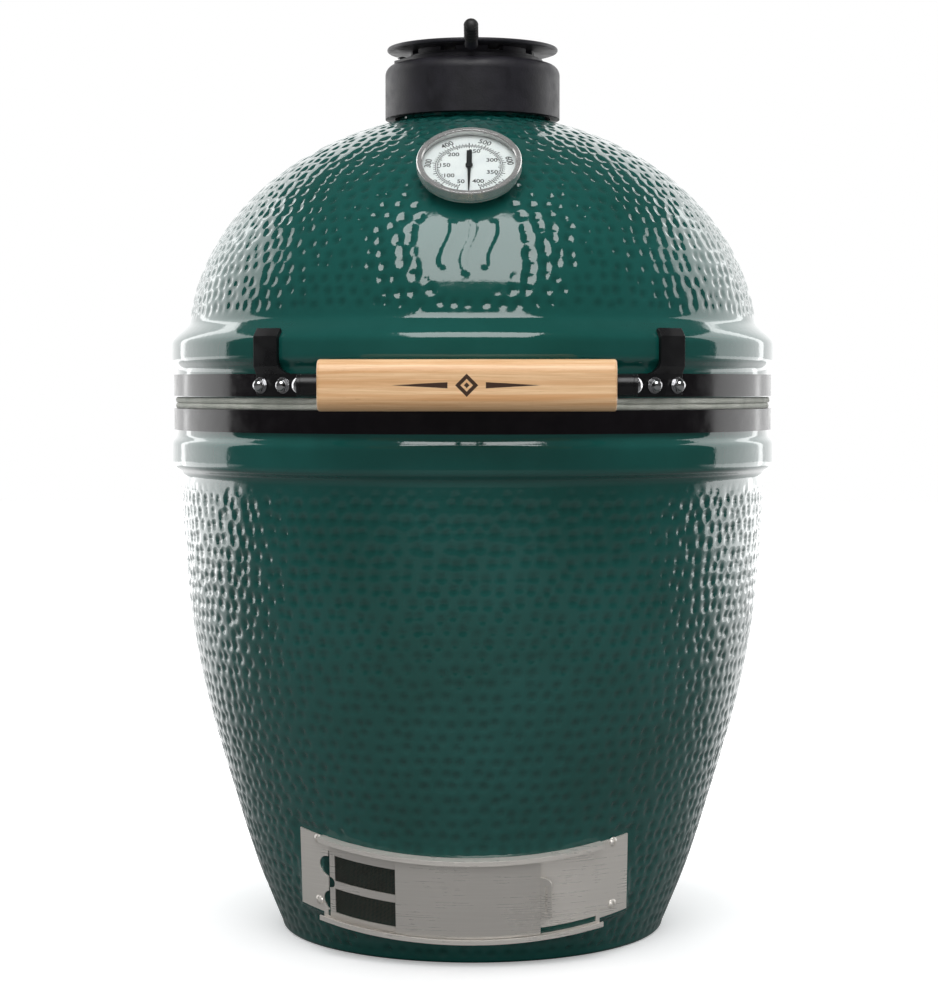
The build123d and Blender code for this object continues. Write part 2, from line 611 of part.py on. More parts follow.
def swing_plate():
    """The damper's lower plate: slotted, with a lug for the pivot and a pocket for the axle's head."""
    outline = make_hull((Circle(DAMPER_RADIUS) + Pos(DAMPER_PIVOT_X, 0) * Circle(7.5)).edges())
    outline -= Pos(DAMPER_PIVOT_X, 0) * Circle(3.05)
    outline -= Circle(4.05)
    for slot in slots(17, 43):
        outline -= slot
    sheet = Pos(0, 0, COLLAR_TOP_Z + 0.2) * extrude(outline, 4, dir=(0, 0, 1))
    return sheet - Pos(0, 0, COLLAR_TOP_Z) * Cylinder(7.1, 2.3, align=BOTTOM)


def rain_cap():
    """The turning top: a slotted shutter, pillars, a wide rain disc and the lever's core."""
    shutter_z = COLLAR_TOP_Z + 4.4
    shutter = Circle(56.5)
    for slot in slots(17, 43):
        shutter -= slot
    cap = Pos(0, 0, shutter_z) * extrude(shutter, 3, dir=(0, 0, 1))
    for angle in range(0, 360, 45):
        cap += arc_block(49, 55.5, angle - 15, angle + 15, shutter_z + 2, RAIN_CAP_Z + 1)
    cap += Pos(0, 0, shutter_z) * Cylinder(11, RAIN_CAP_Z + 2 - shutter_z, align=BOTTOM)
    edge = RAIN_CAP_RADIUS - 1.9
    cap += turned(
        Line((0, RAIN_CAP_Z), (edge, RAIN_CAP_Z)),
        ThreePointArc((edge, RAIN_CAP_Z), (RAIN_CAP_RADIUS, RAIN_CAP_Z + 1.9), (edge, RAIN_CAP_Z + 3.8)),
        Spline([(edge, RAIN_CAP_Z + 3.8), (44, RAIN_CAP_Z + 4.8), (0, RAIN_CAP_Z + 5.2)]),
        Line((0, RAIN_CAP_Z + 5.2), (0, RAIN_CAP_Z)),
    )
    lever = GRIP * Pos(0, 0, -9) * Cone(6, 5.2, 9, align=BOTTOM)
    cap += lever + GRIP * Cylinder(3.5, GRIP_LENGTH - 6, align=BOTTOM)
    return cap - Pos(0, 0, COLLAR_TOP_Z) * Cylinder(4.05, 40, align=BOTTOM)


grip_angle = math.radians(GRIP_TILT)
GRIP = Plane(origin=(0, -79.5, RAIN_CAP_Z + 2.5), x_dir=(1, 0, 0),
             z_dir=(0, -math.cos(grip_angle), math.sin(grip_angle)))


def rain_cap_grip():
    """The ribbed sleeve on the lever."""
    sleeve = Pos(0, 0, 0.1) * Cylinder(5.6, GRIP_LENGTH - 3, align=BOTTOM)
    for i in range(5):
        sleeve += Pos(0, 0, 2.4 + 3.9 * i) * Torus(5.1, 1.3)
    sleeve += Pos(0, 0, GRIP_LENGTH - 3) * dome(5.6, 3)
    return GRIP * (sleeve - Cylinder(3.55, GRIP_LENGTH - 5.9, align=BOTTOM))


def rain_cap_axle():
    """The upright stud, sunk into the damper's plate, that the rain cap turns on."""
    head = Pos(0, 0, COLLAR_TOP_Z + 0.3) * Cylinder(7, 1.9, align=BOTTOM)
    return head + Pos(0, 0, COLLAR_TOP_Z + 1) * Cylinder(4, 25, align=BOTTOM)


def rain_cap_nut():
    """The nut and washer on top of the rain cap."""
    top = RAIN_CAP_Z + 5.3
    washer = tube(4.1, 8.5, top, top + 1)
    return group(washer, Pos(0, 0, top + 1.1) * nut(6.5, 5, 4.04))


# ---- Inside the body ---------------------------------------------------------------------------
def fire_box():
    """The bowl that holds the charcoal: an ash port low at the front and a ring of air holes."""
    floor = FLOOR_Z + 0.3
    bowl = turned(
        Line((121, floor), (142, floor)),
        Line((142, floor), (183, 120)),
        Spline([(183, 120), (208, 205), (224, 280), (228, FIRE_BOX_TOP_Z)]),
        Line((228, FIRE_BOX_TOP_Z), (206, FIRE_BOX_TOP_Z)),
        Spline([(206, FIRE_BOX_TOP_Z), (202, 280), (186, 205), (161, GRATE_SEAT_Z)]),
        Line((161, GRATE_SEAT_Z), (140, GRATE_SEAT_Z)),
        Line((140, GRATE_SEAT_Z), (140, 106)),
        Line((140, 106), (151, 92)),
        Line((151, 92), (121, floor)),
    )
    bowl -= VENT * arc_block(100, 204, *ASH_PORT)
    for i in range(8):
        bowl -= radial(22.5 + 45 * i, 172) * Pos(0, 0, 120) * Cylinder(12, 120, align=BOTTOM)
    return bowl


def fire_ring():
    """The loose ring on the fire box that carries the cooking grid, with three lifting notches."""
    ring = turned_polygon((211, FIRE_BOX_TOP_Z + 0.3), (233, FIRE_BOX_TOP_Z + 0.3), (233, 414),
                          (229, FIRE_RING_TOP_Z), (215, FIRE_RING_TOP_Z), (211, 414))
    for i in range(3):
        ring -= radial(120 * i, FIRE_RING_TOP_Z) * Pos(0, 0, 200) * Cylinder(13, 50, align=BOTTOM)
    return ring


def charcoal_grate():
    """The cast grate under the charcoal."""
    grate = Pos(0, 0, GRATE_SEAT_Z + 0.2) * Cylinder(155, 9, align=BOTTOM)
    for i in range(-5, 6):
        x = 24.0 * i
        half = math.sqrt(142**2 - (abs(x) + 5) ** 2)
        for side in (-1, 1):
            grate -= Pos(x, side * (half / 2 + 3), GRATE_SEAT_Z) * Box(11, half - 6, 30)
    return grate


def cooking_grid():
    """The wire grid: a rim wire, close parallel bars and two cross bars underneath."""
    z = FIRE_RING_TOP_Z + 4.2
    bars = [rod(3.2, (-178, y, z - 4.6), (178, y, z - 4.6)) for y in (-105, 105)]
    for i in range(-13, 14):
        x = 16.0 * i
        half = math.sqrt(GRID_RADIUS**2 - x * x) + 0.7
        bars.append(rod(2.6, (x, -half, z), (x, half, z)))
    rim = RegularPolygon(4.2, 8, rotation=22.5)
    return revolve(Plane.XZ * (Pos(GRID_RADIUS, z) * rim), Axis.Z) + bars


# ---- Build -------------------------------------------------------------------------------------
BOTH_SIDES = [side * a for a in BRACKET_BOLT_ANGLES for side in (-1, 1)]
upper_mid = UPPER_BAND_Z + BAND_WIDTH / 2
lower_mid = LOWER_BAND_Z + BAND_WIDTH / 2
bracket_face = BAND_OUTER + 0.2 + BRACKET_THICKNESS
right_bracket = handle_bracket()
spring = hinge_spring()

parts = {
    "base_shell": base_shell(),
    "base_gasket": gasket(BASE_TOP_Z, SEAM_Z - 0.1),
    "lower_band": band(LOWER_BAND_Z, HINGE_BOLT_ANGLES, LOWER_CLAMP_ANGLE),
    "lower_band_bolt": clamp_bolt(LOWER_BAND_Z, LOWER_CLAMP_ANGLE),
    "lower_hinge_bracket": lower_hinge_bracket(),
    "lower_hinge_studs": studs(HINGE_BOLT_ANGLES, lower_mid, 10),
    "lower_hinge_nuts": dome_nuts(HINGE_BOLT_ANGLES, lower_mid, bracket_face, 4.0),
    "hinge_pivot_bolt": hinge_pivot_bolt(),
    "hinge_pivot_nut": hinge_pivot_nut(),
    "spring_anchor_pin": spring_anchor_pin(),
    "hinge_spring_left": Pos(-SPRING_X, 0, 0) * spring,
    "hinge_spring_right": Pos(SPRING_X, 0, 0) * spring,
    "fire_box": fire_box(),
    "fire_ring": fire_ring(),
    "charcoal_grate": charcoal_grate(),
    "vent_frame": vent_frame(),
    "vent_screws": vent_screws(),
    "screen_panel": screen_panel(),
    "screen_mesh": screen_mesh(),
    "door_panel": door_panel(),
    "lid_shell": lid_shell(),
    "lid_gasket": gasket(SEAM_Z + 0.1, LID_BOTTOM_Z),
    "upper_band": band(UPPER_BAND_Z, BOTH_SIDES + list(HINGE_BOLT_ANGLES), 0),
    "upper_band_bolt": clamp_bolt(UPPER_BAND_Z, 0),
    "handle_bracket_right": right_bracket,
    "handle_bracket_left": mirrored(right_bracket),
    "bracket_studs": studs(BOTH_SIDES, upper_mid, 10),
    "bracket_nuts": dome_nuts(BOTH_SIDES, upper_mid, bracket_face, 4.0),
    "handle_bar": handle_bar(),
    "handle_spacers": handle_spacers(),
    "handle_bolts": handle_bolts(),
    "upper_hinge_bracket": upper_hinge_bracket(),
    "upper_hinge_studs": studs(HINGE_BOLT_ANGLES, upper_mid, 10),
    "upper_hinge_nuts": dome_nuts(HINGE_BOLT_ANGLES, upper_mid, bracket_face, 4.0),
    "hinge_sleeve": hinge_sleeve(),
    "spring_lever_pin": spring_lever_pin(),
    "thermometer_gasket": thermometer_gasket(),
    "thermometer_case": thermometer_case(),
    "thermometer_stem": thermometer_stem(),
    "thermometer_clip": thermometer_clip(),
    "thermometer_dial": thermometer_dial(),
    "thermometer_pointer": thermometer_pointer(),
    "thermometer_lens": thermometer_lens(),
    "thermometer_bezel": thermometer_bezel(),
    "chimney_gasket": tube(NECK_RADIUS + 0.1, 70.3, 738, 767),
    "cap_collar": cap_collar(),
    "damper_pivot_bolt": damper_pivot_bolt(),
    "swing_plate": swing_plate(),
    "rain_cap": rain_cap(),
    "rain_cap_grip": rain_cap_grip(),
    "rain_cap_axle": rain_cap_axle(),
    "rain_cap_nut": rain_cap_nut(),
    "cooking_grid": cooking_grid(),
}

os.makedirs("parts", exist_ok=True)
for name, shape in parts.items():
    export_step(shape, f"parts/{name}.step")
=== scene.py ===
import json
import math
import random

import bmesh
import bpy
import numpy as np
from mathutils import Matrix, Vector, kdtree


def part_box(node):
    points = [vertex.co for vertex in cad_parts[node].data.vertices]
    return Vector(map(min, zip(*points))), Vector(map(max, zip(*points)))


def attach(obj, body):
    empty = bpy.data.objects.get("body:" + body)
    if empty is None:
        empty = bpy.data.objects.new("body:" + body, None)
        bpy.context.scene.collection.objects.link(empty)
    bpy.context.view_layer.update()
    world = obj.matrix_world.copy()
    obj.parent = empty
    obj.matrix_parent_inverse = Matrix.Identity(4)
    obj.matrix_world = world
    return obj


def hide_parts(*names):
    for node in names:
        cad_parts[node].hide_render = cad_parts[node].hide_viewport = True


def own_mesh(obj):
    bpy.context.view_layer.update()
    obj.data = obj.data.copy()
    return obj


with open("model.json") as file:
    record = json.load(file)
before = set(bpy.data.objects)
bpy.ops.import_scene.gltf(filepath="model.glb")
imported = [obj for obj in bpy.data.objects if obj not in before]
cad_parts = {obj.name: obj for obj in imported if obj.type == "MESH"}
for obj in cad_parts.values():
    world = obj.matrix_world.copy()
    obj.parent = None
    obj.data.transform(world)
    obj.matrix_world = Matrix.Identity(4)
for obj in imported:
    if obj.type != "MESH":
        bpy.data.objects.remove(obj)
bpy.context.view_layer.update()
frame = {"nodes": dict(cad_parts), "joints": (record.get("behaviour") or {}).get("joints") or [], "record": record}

# The looks of a ceramic kamado grill, built round its CAD frame. Metres; +Z up, the front faces -Y.
# Angles round the body are in degrees from the front, positive towards +X.

MM = 0.001

# The ceramic shells: how finely they are divided, and the height that tells inside from outside.
SHELL_COLUMNS = 720
SHELL_STEP = 2.3 * MM
INNER_STEP = 9 * MM  # the insides are plain, so they need fewer rows
SHELL_MIDDLE = 0.45
PLAIN_AZIMUTH = 100  # a section taken here meets no hole
SAME_POINT = 0.02 * MM
SHARP_TURN = math.radians(28)  # an outline that turns more than this at a point has a corner there

# The dimples: their pitch, how far each strays from its row, their sizes, and the heights they span.
DIMPLE_SPACING = 13.2 * MM
DIMPLE_ROW = 0.86 * DIMPLE_SPACING
DIMPLE_STRAY_ROUND = 0.24  # share of the pitch
DIMPLE_STRAY_ALONG = 2.2 * MM
DIMPLE_RADIUS = (4.4 * MM, 5.8 * MM)
DIMPLE_DEPTH = (1.05 * MM, 1.6 * MM)
LID_DIMPLES = (0.545, 0.742)
BASE_DIMPLES = (0.006, 0.412)
LID_FADE_LOW, LID_FADE_HIGH = (0.549, 0.560), (0.738, 0.746)  # they grow, then die out, over these
BASE_FADE_LOW, BASE_FADE_HIGH = (0.004, 0.010), (0.396, 0.408)

# The smooth patch on the front of the dome, with three raised heat waves on it.
BADGE_HEIGHT = 0.606
BADGE_RADIUS = 0.046
WAVE_PITCH = 17 * MM
WAVE_SWING, WAVE_LENGTH = 4.2 * MM, 8.5 * MM  # sideways reach, and height per radian of the curve
WAVE_HALF_HEIGHT = 22 * MM
WAVE_SHORTER = 5 * MM  # the outer two end this much sooner
WAVE_EDGE = (1.7 * MM, 3.6 * MM)
WAVE_RELIEF = 0.9 * MM


# ---- Materials ---------------------------------------------------------------------------------
class Look:
    """One procedural material, with short calls for the nodes it is made of."""

    def __init__(self, name):
        self.material = bpy.data.materials.new(name)
        self.material.use_nodes = True
        self.tree = self.material.node_tree
        self.shader = self.tree.nodes["Principled BSDF"]
        self.place = self.add("ShaderNodeTexCoord").outputs["Object"]

    def add(self, kind, inputs=None, **settings):
        node = self.tree.nodes.new(kind)
        for key, value in settings.items():
            setattr(node, key, value)
        for key, value in (inputs or {}).items():
            self.plug(value, node.inputs[key])
        return node

    def plug(self, value, socket):
        if isinstance(value, bpy.types.NodeSocket):
            self.tree.links.new(value, socket)
        else:
            socket.default_value = value

    def stretch(self, x, y, z, source=None):
        """Object coordinates scaled by different amounts along each axis."""
        inputs = {"Vector": source or self.place, "Scale": (x, y, z)}
        return self.add("ShaderNodeMapping", inputs).outputs[0]

    def noise(self, scale, detail=3.0, source=None):
        inputs = {"Vector": source or self.place, "Scale": scale, "Detail": detail,
                  "Roughness": 0.55}
        return self.add("ShaderNodeTexNoise", inputs).outputs["Fac"]

    def cells(self, scale):
        inputs = {"Vector": self.place, "Scale": scale}
        return self.add("ShaderNodeTexVoronoi", inputs).outputs["Distance"]

    def calc(self, operation, a, b=0.0):
        return self.add("ShaderNodeMath", {0: a, 1: b}, operation=operation).outputs[0]

    def spread(self, value, low, high, to_low=0.0, to_high=1.0):
        """A value's range moved onto another range, clamped."""
        inputs = {"Value": value, "From Min": low, "From Max": high, "To Min": to_low,
                  "To Max": to_high}
        return self.add("ShaderNodeMapRange", inputs).outputs[0]

    def blend(self, share, a, b):
        """Colour a at share 0, colour b at share 1."""
        node = self.add("ShaderNodeMix", data_type="RGBA")
        for key, value in ((0, share), (6, a), (7, b)):
            self.plug(value, node.inputs[key])
        return node.outputs[2]

    def bump(self, height, distance, strength=1.0, under=None):
        inputs = {"Height": height, "Distance": distance, "Strength": strength}
        if under is not None:
            inputs["Normal"] = under
        return self.add("ShaderNodeBump", inputs).outputs[0]

    def soft_edge(self, radius):
        """Normals that read as a small rounding along every hard edge."""
        return self.add("ShaderNodeBevel", {"Radius": radius}, samples=4).outputs[0]

    def set(self, **inputs):
        """Principled inputs, with underscores for spaces."""
        for key, value in inputs.items():
            self.plug(value, self.shader.inputs[key.replace("_", " ")])
        return self.material


def rgb(red, green, blue):
    """A colour given as it is seen, from 0 to 255, turned into light."""
    def linear(c):
        c /= 255
        return c / 12.92 if c <= 0.04045 else ((c + 0.055) / 1.055) ** 2.4
    return (linear(red), linear(green), linear(blue), 1.0)


def glaze():
    """Thick green glass over clay, with painted shade in the pits and a faint orange-peel skin."""
    look = Look("glaze")
    pit = look.add("ShaderNodeAttribute", attribute_name="pit").outputs["Fac"]
    cloud = look.spread(look.noise(9, 4), 0.35, 0.65)
    body = look.blend(cloud, rgb(17, 76, 69), rgb(24, 85, 79))
    # painted shade: the pits are darkened, more so the deeper they are
    painted_pit_shade = look.blend(look.calc("MULTIPLY", pit, 0.55), body, rgb(8, 52, 46))
    speck = look.spread(look.noise(700, 2), 0.66, 0.74)
    colour = look.blend(look.calc("MULTIPLY", speck, 0.25), painted_pit_shade, rgb(10, 44, 38))
    skin = look.bump(look.noise(160, 2), 0.12 * MM)
    rough = look.spread(look.noise(30, 3), 0.3, 0.7, 0.06, 0.12)
    return look.set(Base_Color=colour, Roughness=rough, IOR=1.52, Normal=skin, Coat_Weight=0.6,
                    Coat_Roughness=0.03)


def fireclay():
    """Bare pressed refractory: sandy, pitted, a little sooted."""
    look = Look("fireclay")
    sand = look.spread(look.noise(260, 6), 0.3, 0.7)
    colour = look.blend(sand, rgb(190, 172, 146), rgb(214, 200, 176))
    soot = look.spread(look.noise(14, 4), 0.5, 0.8, 0.0, 0.5)
    colour = look.blend(soot, colour, rgb(120, 108, 94))
    grain = look.bump(look.noise(420, 5), 0.5 * MM)
    pits = look.bump(look.spread(look.cells(180), 0.0, 0.25), 0.5 * MM, 0.5, grain)
    return look.set(Base_Color=colour, Roughness=0.92, Normal=pits)


def felt():
    """Pressed high-temperature felt: pale, matted fibres."""
    look = Look("felt")
    fibres = look.noise(900, 4, look.stretch(1, 1, 3))
    cloud = look.noise(60, 4)
    colour = look.blend(look.spread(cloud, 0.3, 0.7), rgb(164, 168, 156), rgb(196, 197, 187))
    colour = look.blend(look.spread(fibres, 0.55, 0.75, 0.0, 0.55), colour, rgb(120, 124, 112))
    matted = look.bump(fibres, 0.5 * MM, 0.9)
    lumps = look.bump(look.noise(220, 3), 0.6 * MM, 0.6, matted)
    return look.set(Base_Color=colour, Roughness=0.95, Normal=lumps, Sheen_Weight=0.4)


def black_paint(name, tint, rough, edge):
    """Baked paint on steel: a fine orange peel, a little dust, softly rounded edges."""
    look = Look(name)
    dust = look.spread(look.noise(35, 5), 0.4, 0.8, 0.0, 0.5)
    colour = look.blend(dust, tint, tuple(c * 1.6 + 0.004 for c in tint[:3]) + (1.0,))
    patchy = look.spread(look.noise(70, 4), 0.3, 0.7, rough - 0.06, rough + 0.08)
    rounded = look.soft_edge(edge)
    peel = look.bump(look.noise(900, 2), 0.05 * MM, 0.5, rounded)
    return look.set(Base_Color=colour, Roughness=patchy, Normal=peel)


def cast_black(name, tone, grit):
    """Black-coated casting: a sandy skin under a satin coat."""
    look = Look(name)
    mottle = look.spread(look.noise(45, 5), 0.35, 0.7)
    colour = look.blend(mottle, rgb(tone, tone - 1, tone + 4), rgb(tone + 12, tone + 10, tone + 18))
    skin = look.bump(look.noise(520, 5), grit, 0.8, look.soft_edge(0.8 * MM))
    rough = look.spread(look.noise(90, 4), 0.3, 0.7, 0.42, 0.58)
    return look.set(Base_Color=colour, Roughness=rough, Normal=skin)


def bare_iron():
    """Uncoated cast iron with a trace of rust."""
    look = Look("bare_iron")
    rust = look.spread(look.noise(60, 6), 0.58, 0.72)
    colour = look.blend(rust, rgb(84, 82, 80), rgb(104, 72, 54))
    skin = look.bump(look.noise(480, 6), 0.4 * MM)
    return look.set(Base_Color=colour, Metallic=0.6, Roughness=0.72, Normal=skin)


def steel(name, tone, rough, along, shine=1.0):
    """Steel sheet or wire with its drawn or brushed streaks along the given axes."""
    look = Look(name)
    stretch = [14.0 if axis in along else 900.0 for axis in "XYZ"]
    streak = look.noise(1.0, 3, look.stretch(*stretch))
    smear = look.noise(24, 4)
    low, high = (rgb(*(round(c * s) for c in tone)) for s in (0.965, 1.0))
    colour = look.blend(look.spread(streak, 0.3, 0.7), low, high)
    rubbed = look.calc("ADD", look.spread(streak, 0.3, 0.7, -0.04, 0.04),
                       look.spread(smear, 0.3, 0.7, rough - 0.04, rough + 0.05))
    lines = look.bump(smear, 0.05 * MM, 0.3, look.soft_edge(0.25 * MM))
    return look.set(Base_Color=colour, Metallic=shine, Roughness=rubbed, Normal=lines)


def plated(name, tone, rough, shine=1.0):
    """Bright plating with hairline marks and slight dulling."""
    look = Look(name)
    haze = look.spread(look.noise(80, 5), 0.4, 0.75, rough, rough + 0.16)
    hair = look.noise(1.0, 2, look.stretch(2600, 60, 900))
    marks = look.bump(hair, 0.006 * MM, 0.4, look.soft_edge(0.3 * MM))
    colour = look.blend(look.spread(look.noise(50, 3), 0.4, 0.7), rgb(*tone),
                        rgb(*(round(c * 0.93) for c in tone)))
    return look.set(Base_Color=colour, Metallic=shine, Roughness=haze, Normal=marks)


def wood():
    """Pale lacquered hardwood, its grain along the handle, with a burned-in lozenge ornament."""
    look = Look("handle_wood")
    lo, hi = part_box("handle_bar")
    middle = (lo + hi) / 2
    flow = look.noise(1.0, 3, look.stretch(5, 60, 60))
    bend = look.add("ShaderNodeCombineXYZ", {2: look.calc("MULTIPLY", flow, 7 * MM)}).outputs[0]
    wavy = look.add("ShaderNodeVectorMath", {0: look.place, 1: bend}, operation="ADD").outputs[0]
    ring = look.noise(1.0, 2, look.stretch(4, 170, 240, wavy))
    fine = look.noise(1.0, 5, look.stretch(38, 900, 1500, wavy))
    pores = look.noise(1.0, 2, look.stretch(110, 2200, 2600))
    colour = look.blend(look.spread(ring, 0.34, 0.66), rgb(224, 171, 119), rgb(246, 207, 161))
    colour = look.blend(look.spread(fine, 0.4, 0.72, 0.0, 0.5), colour, rgb(205, 152, 98))
    colour = look.blend(look.spread(pores, 0.66, 0.76, 0.0, 0.55), colour, rgb(160, 104, 60))
    split = look.add("ShaderNodeSeparateXYZ", {0: look.place})
    x = look.calc("ABSOLUTE", split.outputs[0])
    z = look.calc("ABSOLUTE", look.calc("SUBTRACT", split.outputs[2], middle.z))
    front = look.calc("LESS_THAN", split.outputs[1], middle.y)
    singe = look.calc("MULTIPLY", burned_mark(look, x, z), front)
    edge = look.calc("ADD", singe, look.spread(fine, 0.3, 0.7, -0.12, 0.12))
    burnt = look.calc("MULTIPLY", look.spread(edge, 0.3, 0.6), front)
    colour = look.blend(burnt, colour, rgb(66, 44, 30))
    relief = look.bump(look.calc("SUBTRACT", fine, look.calc("MULTIPLY", burnt, 2.0)), 0.1 * MM, 0.6)
    rough = look.spread(ring, 0.3, 0.7, 0.34, 0.46)
    return look.set(Base_Color=colour, Roughness=rough, Normal=relief, Coat_Weight=0.25,
                    Coat_Roughness=0.25)


def burned_mark(look, x, z):
    """A plain ornament: a lozenge between two bars that taper to points, 1 inside and 0 outside."""
    out = look.calc("ADD", x, z)
    diamond = look.calc("MAXIMUM", look.calc("SUBTRACT", out, 9 * MM),
                        look.calc("SUBTRACT", 5 * MM, out))
    dot = look.calc("SUBTRACT", out, 2.2 * MM)
    taper = look.calc("SUBTRACT", z, look.calc("MULTIPLY", look.calc("SUBTRACT", 58 * MM, x), 0.055))
    bar = look.calc("MAXIMUM", taper, look.calc("SUBTRACT", 15 * MM, x))
    nearest = look.calc("MINIMUM", look.calc("MINIMUM", diamond, dot), bar)
    return look.spread(nearest, 0.35 * MM, -0.35 * MM)


def grip_rubber():
    """Black moulded rubber, a little greyed by soot and hands."""
    look = Look("grip_rubber")
    grime = look.spread(look.noise(120, 4), 0.35, 0.7)
    colour = look.blend(grime, rgb(22, 22, 23), rgb(46, 45, 44))
    skin = look.bump(look.noise(700, 3), 0.08 * MM, 0.7)
    return look.set(Base_Color=colour, Roughness=0.5, Normal=skin)


def enamel():
    """The dial's white face, very slightly uneven."""
    look = Look("dial_white")
    tone = look.spread(look.noise(90, 3), 0.3, 0.7)
    colour = look.blend(tone, rgb(236, 237, 238), rgb(246, 246, 245))
    return look.set(Base_Color=colour, Roughness=0.35, Normal=look.bump(look.noise(500, 2), 0.02 * MM))


def ink(name, tone):
    """Printed or painted black, a little uneven in density."""
    look = Look(name)
    density = look.spread(look.noise(600, 3), 0.3, 0.7)
    colour = look.blend(density, rgb(*tone), rgb(*(c + 10 for c in tone)))
    return look.set(Base_Color=colour, Roughness=look.spread(density, 0.0, 1.0, 0.4, 0.55))


def flat_glass():
    """Clear flat glass: the light passes straight through, less what its faces reflect."""
    look = Look("lens_glass")
    clear = look.add("ShaderNodeBsdfTransparent", {"Color": (0.97, 0.985, 0.98, 1)})
    smear = look.spread(look.noise(35, 4), 0.45, 0.8, 0.01, 0.09)
    gloss = look.add("ShaderNodeBsdfGlossy", {"Roughness": smear})
    behind = look.add("ShaderNodeNewGeometry").outputs["Backfacing"]
    outside = look.calc("SUBTRACT", 1.0, behind)
    fresnel = look.add("ShaderNodeFresnel", {"IOR": 1.5}).outputs[0]
    share = look.calc("MULTIPLY", fresnel, outside)
    pane = look.add("ShaderNodeMixShader", {0: share, 1: clear.outputs[0], 2: gloss.outputs[0]})
    look.plug(pane.outputs[0], look.tree.nodes["Material Output"].inputs["Surface"])
    return look.material


def silicone():
    """Dark heat-proof rubber."""
    look = Look("silicone")
    tone = look.blend(look.spread(look.noise(200, 3), 0.3, 0.7), rgb(52, 50, 48), rgb(70, 68, 66))
    return look.set(Base_Color=tone, Roughness=0.7, Normal=look.bump(look.noise(600, 2), 0.05 * MM))


LOOKS = {
    "glaze": glaze(),
    "fireclay": fireclay(),
    "felt": felt(),
    "band_paint": black_paint("band_paint", rgb(12, 8, 12), 0.15, 0.3 * MM),
    "bracket_paint": black_paint("bracket_paint", rgb(12, 12, 14), 0.3, 0.5 * MM),
    "zinc": plated("zinc", (205, 205, 207), 0.12),
    "spring_steel": steel("spring_steel", (150, 150, 152), 0.3, "Z"),
    "stainless": steel("stainless", (228, 223, 216), 0.3, "XY", 0.5),
    "woven_steel": steel("woven_steel", (112, 108, 100), 0.4, "X", 0.7),
    "grid_steel": steel("grid_steel", (196, 194, 190), 0.3, "Y"),
    "iron": cast_black("iron", 24, 0.18 * MM),
    "grate_iron": bare_iron(),
    "handle_wood": wood(),
    "grip_rubber": grip_rubber(),
    "dial_white": enamel(),
    "pointer_black": ink("pointer_black", (20, 21, 22)),
    "lens_glass": flat_glass(),
    "bezel_chrome": plated("bezel_chrome", (222, 221, 219), 0.16, 0.75),
    "silicone": silicone(),
}


# ---- Mesh helpers ------------------------------------------------------------------------------
def finish_piece(obj, body, slot, hard_angle=None):
    """Gives a piece its material and smooth shading, and hangs it on a body of the frame."""
    obj.data.materials.clear()
    obj.data.materials.append(LOOKS[slot])
    obj.data.shade_smooth()
    if hard_angle is not None:
        obj.data.set_sharp_from_angle(angle=math.radians(hard_angle))
    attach(obj, body)
    return obj


def new_object(name, verts, faces):
    """A mesh object in the scene."""
    mesh = bpy.data.meshes.new(name)
    mesh.from_pydata([tuple(v) for v in verts], [], [tuple(f) for f in faces])
    mesh.validate()
    obj = bpy.data.objects.new(name, mesh)
    bpy.context.scene.collection.objects.link(obj)
    return obj


def apply_modifiers(obj):
    """Replaces the object's mesh by what its modifiers make of it."""
    bpy.context.view_layer.update()
    shaped = obj.evaluated_get(bpy.context.evaluated_depsgraph_get())
    mesh = bpy.data.meshes.new_from_object(shaped)
    obj.modifiers.clear()
    obj.data = mesh


def grid_faces(rows, columns, closed_rows):
    """Quads of a grid whose columns wrap round, and whose rows do so too if closed_rows."""
    r = np.arange(rows if closed_rows else rows - 1)[:, None]
    c = np.arange(columns)[None, :]
    up, right = (r + 1) % rows, (c + 1) % columns
    corners = [r * columns + c, r * columns + right, up * columns + right, up * columns + c]
    return np.stack([np.broadcast_to(k, (len(r), columns)) for k in corners], -1).reshape(-1, 4)


def spun(outline, columns, closed):
    """Vertices and faces of a (radius, height) outline turned about Z; open ends are capped."""
    angle = np.arange(columns) * math.tau / columns
    radius, height = outline[:, 0][:, None], outline[:, 1][:, None]
    verts = np.stack([radius * np.sin(angle), -radius * np.cos(angle),
                      height + 0 * angle], -1).reshape(-1, 3)
    faces = grid_faces(len(outline), columns, closed).tolist()
    if not closed:
        faces.append(list(range(columns))[::-1])
        last = (len(outline) - 1) * columns
        faces.append(list(range(last, last + columns)))
    return verts, faces


def section(node, azimuth):
    """The CAD node cut by a half-plane at that angle round the body, as an ordered outline."""
    a = math.radians(azimuth)
    outward = Vector((math.sin(a), -math.cos(a), 0))
    mesh = bmesh.new()
    mesh.from_mesh(frame["nodes"][node].data)
    bmesh.ops.remove_doubles(mesh, verts=mesh.verts, dist=1e-6)
    everything = mesh.verts[:] + mesh.edges[:] + mesh.faces[:]
    cut = bmesh.ops.bisect_plane(mesh, geom=everything, plane_co=(0, 0, 0),
                                 plane_no=outward.cross(Vector((0, 0, 1))))
    links = {}
    for edge in cut["geom_cut"]:
        if isinstance(edge, bmesh.types.BMEdge):
            one, two = edge.verts
            if min(one.co @ outward, two.co @ outward) > 1e-5:
                links.setdefault(one, []).append(two)
                links.setdefault(two, []).append(one)
    ends = [v for v in links if len(links[v]) == 1]
    start = min(ends or links, key=lambda v: (round(v.co.z, 5), v.co @ outward))
    path, before, here = [start], None, start
    while True:
        ahead = [v for v in links[here] if v is not before]
        if not ahead or ahead[0] is start:
            break
        before, here = here, ahead[0]
        path.append(here)
    points = np.array([(v.co @ outward, v.co.z) for v in path])
    mesh.free()
    return points, not ends


